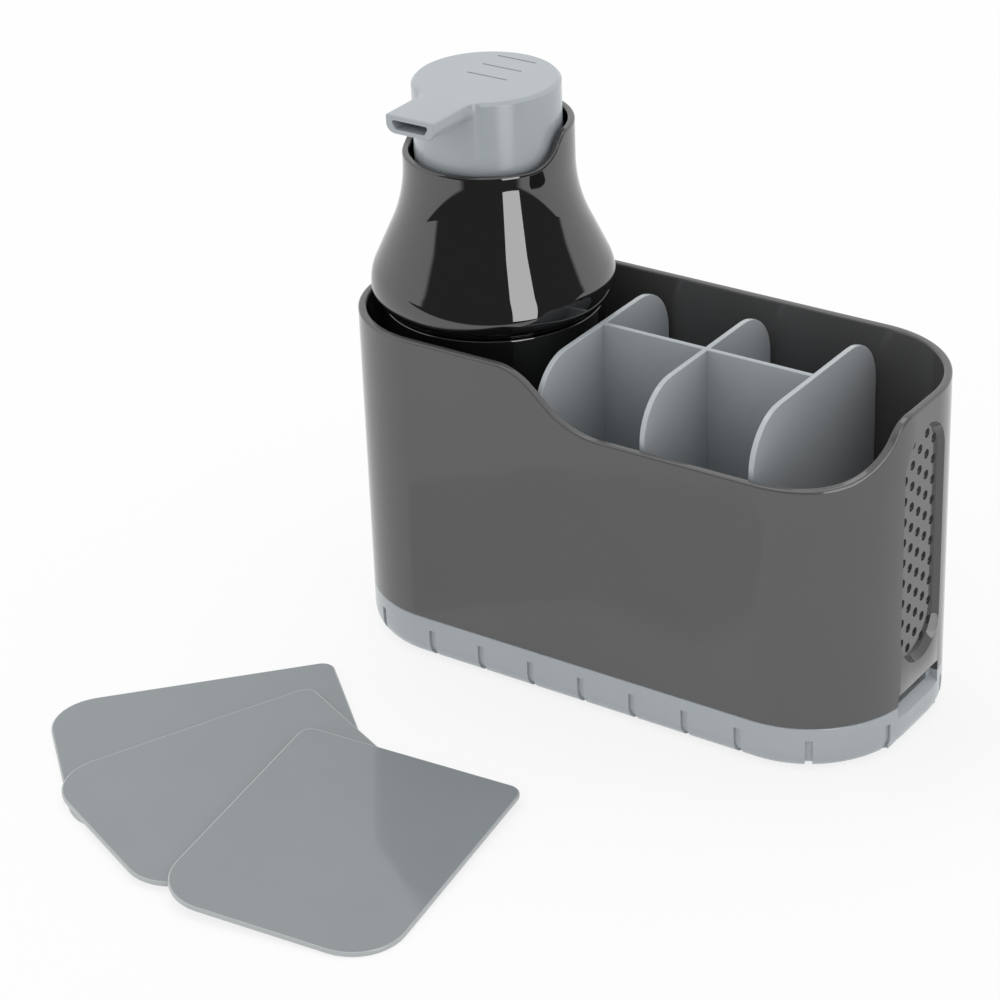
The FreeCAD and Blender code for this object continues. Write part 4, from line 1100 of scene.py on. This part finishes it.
class CADDY_OT_pump(bpy.types.Operator):
    """The turned pieces of the pump inside the bell, and the check ball"""
    bl_idname = "caddy.pump"
    bl_label = "Pump"

    # Each turned piece with its body and its finish.
    pieces = {
        "pump_closure": ("bell", "natural_plastic"),
        "housing_gasket": ("bell", "seal_rubber"),
        "pump_housing": ("bell", "natural_plastic"),
        "stem_guide": ("bell", "natural_plastic"),
        "pump_stem": ("head", "natural_plastic"),
        "stem_plug": ("head", "natural_plastic"),
        "piston_seal": ("head", "seal_rubber"),
        "dip_tube": ("bell", "natural_plastic"),
    }

    def execute(self, context):
        sizes, across = context.scene.caddy_pump, bottle_axis()
        outlines = self.outlines(sizes)
        for name, (body, slot) in self.pieces.items():
            radii = [0 if radius == 0 else sizes.edge_round for radius, height in outlines[name]]
            piece = turned(name, rounded(outlines[name], radii), across, PUMP_STEPS)
            hand_over(piece, name, body, slot)
        low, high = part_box("inlet_ball")
        radius, middle = (high.z - low.z) / 2, (high.z + low.z) / 2
        turns = [math.pi * i / CIRCLE_STEPS for i in range(CIRCLE_STEPS + 1)]
        half_round = [(radius * math.sin(t), middle - radius * math.cos(t)) for t in turns]
        hand_over(turned("inlet_ball", half_round, across, BALL_STEPS), "inlet_ball", "valve_ball",
                  "spring_steel")
        return {"FINISHED"}

    def outlines(self, sizes):
        """The (radius, height) outline of each turned piece, set into its neighbours."""
        zone = {name: (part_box(name)[0].z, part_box(name)[1].z) for name in self.pieces}
        reach = {name: (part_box(name)[1].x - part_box(name)[0].x) / 2 for name in self.pieces}
        stem, bore, tube = sizes.stem_radius, sizes.stem_bore, sizes.tube_bore
        barrel, spigot = sizes.barrel_radius, sizes.spigot_radius
        casing = barrel + sizes.barrel_wall
        foot, flange = zone["pump_housing"]
        seat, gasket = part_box("return_spring")[0].z, zone["housing_gasket"][1]
        cone, guide_top = seat - sizes.cone_height, flange + sizes.guide_flange
        guide, sleeve = stem + sizes.stem_gap, barrel - sizes.closure_gap
        closure, neck, tube_out = reach["pump_closure"], reach["pump_housing"], reach["dip_tube"]
        thread, plug, stem_foot = neck + sizes.closure_gap, reach["stem_plug"], zone["pump_stem"][0]
        closure_low, closure_high = zone["pump_closure"]
        guide_low, guide_high = zone["stem_guide"]
        plug_low, plug_high = zone["stem_plug"]
        tube_top = zone["dip_tube"][1]
        found = {
            "pump_closure": [
                (thread, closure_low), (closure, closure_low), (closure, closure_high),
                (barrel, closure_high), (barrel, guide_top), (thread, guide_top)],
            "pump_housing": [
                (tube, tube_top), (tube_out, tube_top), (tube_out, foot), (spigot, foot),
                (spigot, cone), (casing, seat), (casing, gasket), (neck, gasket), (neck, flange),
                (barrel, flange), (barrel, seat), (sizes.valve_radius, seat), (tube, cone)],
            "stem_guide": [
                (guide, guide_low), (barrel, guide_low), (barrel, flange), (neck, flange),
                (neck, guide_top), (sleeve, guide_top), (sleeve, guide_high), (guide, guide_high)],
            "stem_plug": [
                (0, plug_low), (plug, plug_low), (plug, stem_foot), (bore, stem_foot),
                (bore, plug_high), (0, plug_high)],
        }
        for name, inner, outer in (("housing_gasket", casing, neck), ("pump_stem", bore, stem),
                                   ("piston_seal", stem, reach["piston_seal"]),
                                   ("dip_tube", tube, tube_out)):
            low, high = zone[name]
            found[name] = [(inner, low), (outer, low), (outer, high), (inner, high)]
        return found


class CADDY_OT_return_spring(bpy.types.Operator):
    """Coiled wire spring, drawn at one length; the real one shortens as the head is pressed"""
    bl_idname = "caddy.return_spring"
    bl_label = "Return Spring"

    def execute(self, context):
        sizes = context.scene.caddy_pump
        low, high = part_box("return_spring")
        wire = sizes.wire_radius
        piece = grow(empty_mesh("return_spring"), node_group("coil", coil_tree), {
            "Radius": (high.x - low.x) / 2 - wire, "Wire": wire,
            "Height": high.z - low.z - wire * 2, "Turns": sizes.spring_turns,
            "Place": (bottle_axis(), 0.0, low.z + wire), "Material": finish("spring_steel")})
        hand_over(piece, "return_spring", "bell", "spring_steel")
        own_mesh(piece)
        return {"FINISHED"}


class CADDY_OT_pump_head(bpy.types.Operator):
    """Grey press head: round top, skirt and spout in one, with finger grooves"""
    bl_idname = "caddy.pump_head"
    bl_label = "Pump Head"

    # Finger grooves, and points round each lip of the spout.
    groove_count, spout_steps = 3, 8

    def execute(self, context):
        sizes = context.scene.caddy_pump
        across = bottle_axis()
        low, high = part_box("pump_head")
        top, radius, reach = high.z, (high.x - low.x) / 2, -low.y
        under, inner = top - sizes.head_plate, radius - sizes.head_wall
        boss_foot = under - sizes.boss_length
        stem_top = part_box("pump_stem")[1].z
        bore, stem = sizes.stem_bore, sizes.stem_radius
        duct = top - sizes.slot_roof
        corners = [
            (0, top), (0, duct), (bore, duct), (bore, stem_top), (stem, stem_top),
            (stem, boss_foot), (sizes.boss_radius, boss_foot), (sizes.boss_radius, under),
            (inner, under), (inner, low.z), (radius, low.z), (radius, top - sizes.head_bevel),
            (radius - sizes.head_bevel, top)]
        radii = [0, 0] + [sizes.head_inner_round] * 9 + [sizes.head_round] * 2
        piece = turned("pump_head", rounded(corners, radii), across, HEAD_STEPS)
        carve(piece, self.bill(sizes, across, top, radius, reach), "UNION")
        slot, slot_foot = sizes.slot_width / 2, sizes.slot_foot_width / 2
        slot_low = duct - sizes.slot_height
        outline = rounded([(slot_foot, slot_low), (slot, duct), (-slot, duct),
                           (-slot_foot, slot_low)], sizes.slot_height / 4)
        mouth = prism("mouth", outline, -reach - sizes.spout_height, 0,
                      lambda u, v, d: (across + u, d, v))
        carve(piece, joined("head_cuts", [mouth, self.grooves(sizes, across, top)]))
        hand_over(piece, "pump_head", "head", "grey_satin")
        return {"FINISHED"}

    def bill(self, sizes, across, top, radius, reach):
        """The flat spout with soft lips, blended into the round top with a hollow on each side."""
        half, soft, blend = sizes.spout_width / 2, sizes.spout_round, sizes.spout_blend
        foot = top - sizes.spout_height
        centre = -math.sqrt((radius + blend) ** 2 - (half + blend) ** 2)
        touch = centre * radius / (radius + blend)
        rows = [(0, -sizes.stem_radius)]
        for step in range(ROUND_STEPS + 1):
            along = touch + (centre - touch) * step / ROUND_STEPS
            rows.append((math.sqrt(blend ** 2 - (along - centre) ** 2) - blend, along))
        beside = soft * 1.5
        rows += [(0, beside - reach), (0, soft - reach)]
        for step in range(1, ROUND_STEPS + 1):
            turn = math.pi / 2 * step / ROUND_STEPS
            rows.append((soft * (1 - math.cos(turn)), soft - reach - soft * math.sin(turn)))
        rows.append((beside, -reach))
        rings = []
        for inset, along in rows:
            drawn = max(inset, 0)
            outline = four_corners(half - min(inset, 0), foot, top, sizes.spout_foot_round, soft,
                                   drawn, self.spout_steps)
            rings.append([(across + u, along, v) for u, v in outline])
        return skin("bill", rings)

    def grooves(self, sizes, across, top):
        """The cutters of the three finger grooves."""
        half, width = sizes.groove_length / 2, sizes.groove_width / 2
        tool = box_tool("groove", (-half, -width, -sizes.groove_depth), (half, width, width))
        places = [(across, sizes.groove_first + sizes.groove_pitch * step, top, 0)
                  for step in range(self.groove_count)]
        return set_out("grooves", tool, places, finish("grey_satin"))


# Studio

class CADDY_OT_studio(bpy.types.Operator):
    """Pale floor, soft studio light and the camera at the photograph's angle"""
    bl_idname = "caddy.studio"
    bl_label = "Studio"

    # Half of the floor's width (m).
    floor_half = 4.0
    # In mirror images the paper ends this far (m) toward the camera and beyond it is nearly dark.
    paper_toward, paper_end, paper_gone = (0.575, -0.818, 0.0), 0.32, 0.36
    # How much of the paper's own white the camera and the mirror images see, besides its shading.
    paper_glow = 0.80
    # The tent in mirror images: the way it opens, where its walls end and where its roof starts, both
    # as parts of a direction of length one.
    tent_open, opening, roof = (0.707, -0.707, 0.0), (0.12, 0.22), (0.56, 0.66)
    # Light out of the dark opening, and the even light on matt surfaces.
    dark_level, matt_level = 0.10, 0.92
    # The camera as fitted to the photograph: its place (m), its sideways and upward directions, its lens.
    camera_place = (0.531857, -0.848962, 0.598303)
    camera_right, camera_up = (0.82805, 0.55961, -0.03428), (-0.23890, 0.40749, 0.88141)
    sensor_width, lens_length, clip_start = 36.0, 114.947, 0.05
    # Each lamp's turn and rise (degrees), distance, width and height (m), power (W), and whether it
    # lights matt surfaces. All lamps face this height on the bottle's axis.
    lamp_aim = 0.15
    lamp_set = {
        "window_strip": (-29.0, 7, 0.48, 0.19, 0.46, 1.05, False),
        "top_bank": (150, 76, 1.3, 0.6, 0.6, 2.2, True),
    }

    def execute(self, context):
        self.floor(context.scene)
        self.world(context.scene)
        self.lamps()
        self.camera(context.scene)
        context.scene.view_settings.view_transform = "Standard"
        return {"FINISHED"}

    def floor(self, scene):
        """White paper that shades like paper and partly shows its own white, so its end stays unseen."""
        half = self.floor_half
        floor = link_mesh("studio_floor", [(-half, -half, 0), (half, -half, 0), (half, half, 0),
                                           (-half, half, 0)], [(0, 1, 2, 3)])
        made = bpy.data.materials.new("studio_floor")
        made.use_nodes = True
        tree = made.node_tree
        shader = tree.nodes["Principled BSDF"]
        shader.inputs["Roughness"].default_value = 0.9
        shader.inputs["Specular IOR Level"].default_value = 0.0
        path = tree_node(tree, "ShaderNodeLightPath").outputs
        place = tree_node(tree, "ShaderNodeTexCoord").outputs["Object"]
        sheet = ramp(tree, distance_along(tree, place, self.paper_toward), self.paper_end,
                     self.paper_gone, 1.0, self.dark_level)
        seen = between(tree, path["Is Glossy Ray"], 1.0, sheet)
        paper = tree_node(tree, "ShaderNodeVectorMath", {0: tuple(scene.caddy_colours.floor),
                                                         "Scale": seen}, operation="SCALE")
        tree.links.new(paper.outputs["Vector"], shader.inputs["Base Color"])
        glow = tree_node(tree, "ShaderNodeEmission", {"Color": (1, 1, 1, 1), "Strength": seen})
        first = math_node(tree, "MAXIMUM", path["Is Camera Ray"], path["Is Glossy Ray"])
        shown = math_node(tree, "MAXIMUM", first, path["Is Transmission Ray"])
        share = math_node(tree, "MULTIPLY", shown, self.paper_glow)
        both = tree_node(tree, "ShaderNodeMixShader", {
            0: share, 1: shader.outputs["BSDF"], 2: glow.outputs["Emission"]})
        tree.links.new(both.outputs["Shader"], tree.nodes["Material Output"].inputs["Surface"])
        floor.data.materials.append(made)

    def world(self, scene):
        """White to the camera, even light to matt surfaces, and to mirrors a tent open in front."""
        world = bpy.data.worlds.new("studio")
        scene.world = world
        world.use_nodes = True
        tree = world.node_tree
        path = tree_node(tree, "ShaderNodeLightPath").outputs
        place = tree_node(tree, "ShaderNodeTexCoord").outputs["Generated"]
        walls = ramp(tree, distance_along(tree, place, self.tent_open), *self.opening, 1.0,
                     self.dark_level, interpolation_type="SMOOTHSTEP")
        rise = tree_node(tree, "ShaderNodeSeparateXYZ", {"Vector": place}).outputs["Z"]
        roof = ramp(tree, rise, *self.roof, 0.0, 1.0, interpolation_type="SMOOTHSTEP")
        tent = math_node(tree, "MAXIMUM", walls, roof)
        soft = between(tree, path["Is Glossy Ray"], self.matt_level, tent)
        level = between(tree, path["Is Camera Ray"], soft, 1.0)
        tree.links.new(level, tree.nodes["Background"].inputs["Strength"])
        tree.nodes["Background"].inputs["Color"].default_value = (1, 1, 1, 1)

    def lamps(self):
        """A soft bank above, and beside the camera a tall strip that only shows as a reflection."""
        for name, (turn, rise, far, width, height, power, soft) in self.lamp_set.items():
            lamp = bpy.data.lights.new(name, "AREA")
            lamp.shape = "RECTANGLE"
            lamp.size, lamp.size_y, lamp.energy = width, height, power
            holder = add_object(name, lamp)
            holder.visible_diffuse = soft
            turn, rise = math.radians(turn), math.radians(rise)
            aim = Vector((math.cos(turn) * math.cos(rise), math.sin(turn) * math.cos(rise),
                          math.sin(rise)))
            holder.location = Vector((bottle_axis(), 0, self.lamp_aim)) + aim * far
            holder.rotation_euler = aim.to_track_quat("Z", "Y").to_euler()

    def camera(self, scene):
        """The camera as fitted to the photograph's edges."""
        lens = bpy.data.cameras.new("camera")
        lens.sensor_width, lens.lens = self.sensor_width, self.lens_length
        lens.clip_start = self.clip_start
        camera = add_object("camera", lens)
        right, up = Vector(self.camera_right), Vector(self.camera_up)
        turn = Matrix((right, up, right.cross(up))).transposed()
        camera.matrix_world = Matrix.LocRotScale(Vector(self.camera_place), turn, None)
        scene.camera = camera


class CADDY_PT_sidebar(bpy.types.Panel):
    """Lists the caddy's pieces and its studio"""
    bl_label = "Soap Pump Caddy"
    bl_idname = "CADDY_PT_sidebar"
    bl_space_type = "VIEW_3D"
    bl_region_type = "UI"
    bl_category = "Caddy"

    def draw(self, context):
        for maker in MAKERS:
            self.layout.operator(maker.bl_idname)
        for label in GROUPS:
            sizes = getattr(context.scene, label)
            box = self.layout.box()
            for key in sizes.bl_rna.properties.keys():
                if key not in ("rna_type", "name"):
                    box.prop(sizes, key)


GROUPS = {
    "caddy_body": CaddyBodySizes,
    "caddy_tray": CaddyTraySizes,
    "caddy_divider": CaddyDividerSizes,
    "caddy_bottle": CaddyBottleSizes,
    "caddy_pump": CaddyPumpSizes,
    "caddy_colours": CaddyColours,
}
MAKERS = (CADDY_OT_drip_tray, CADDY_OT_caddy_body, CADDY_OT_divider_insert,
          CADDY_OT_loose_plates, CADDY_OT_bottle, CADDY_OT_pump, CADDY_OT_return_spring,
          CADDY_OT_pump_head, CADDY_OT_studio)


def register():
    for label, group in GROUPS.items():
        bpy.utils.register_class(group)
        setattr(bpy.types.Scene, label, bpy.props.PointerProperty(type=group))
    for maker in MAKERS:
        bpy.utils.register_class(maker)
    bpy.utils.register_class(CADDY_PT_sidebar)


def unregister():
    bpy.utils.unregister_class(CADDY_PT_sidebar)
    for maker in reversed(MAKERS):
        bpy.utils.unregister_class(maker)
    for label, group in reversed(GROUPS.items()):
        delattr(bpy.types.Scene, label)
        bpy.utils.unregister_class(group)


def main():
    register()
    bpy.ops.caddy.drip_tray()
    bpy.ops.caddy.caddy_body()
    bpy.ops.caddy.divider_insert()
    bpy.ops.caddy.loose_plates()
    bpy.ops.caddy.bottle()
    bpy.ops.caddy.pump()
    bpy.ops.caddy.return_spring()
    bpy.ops.caddy.pump_head()
    bpy.ops.caddy.studio()


if __name__ == "__main__":
    main()
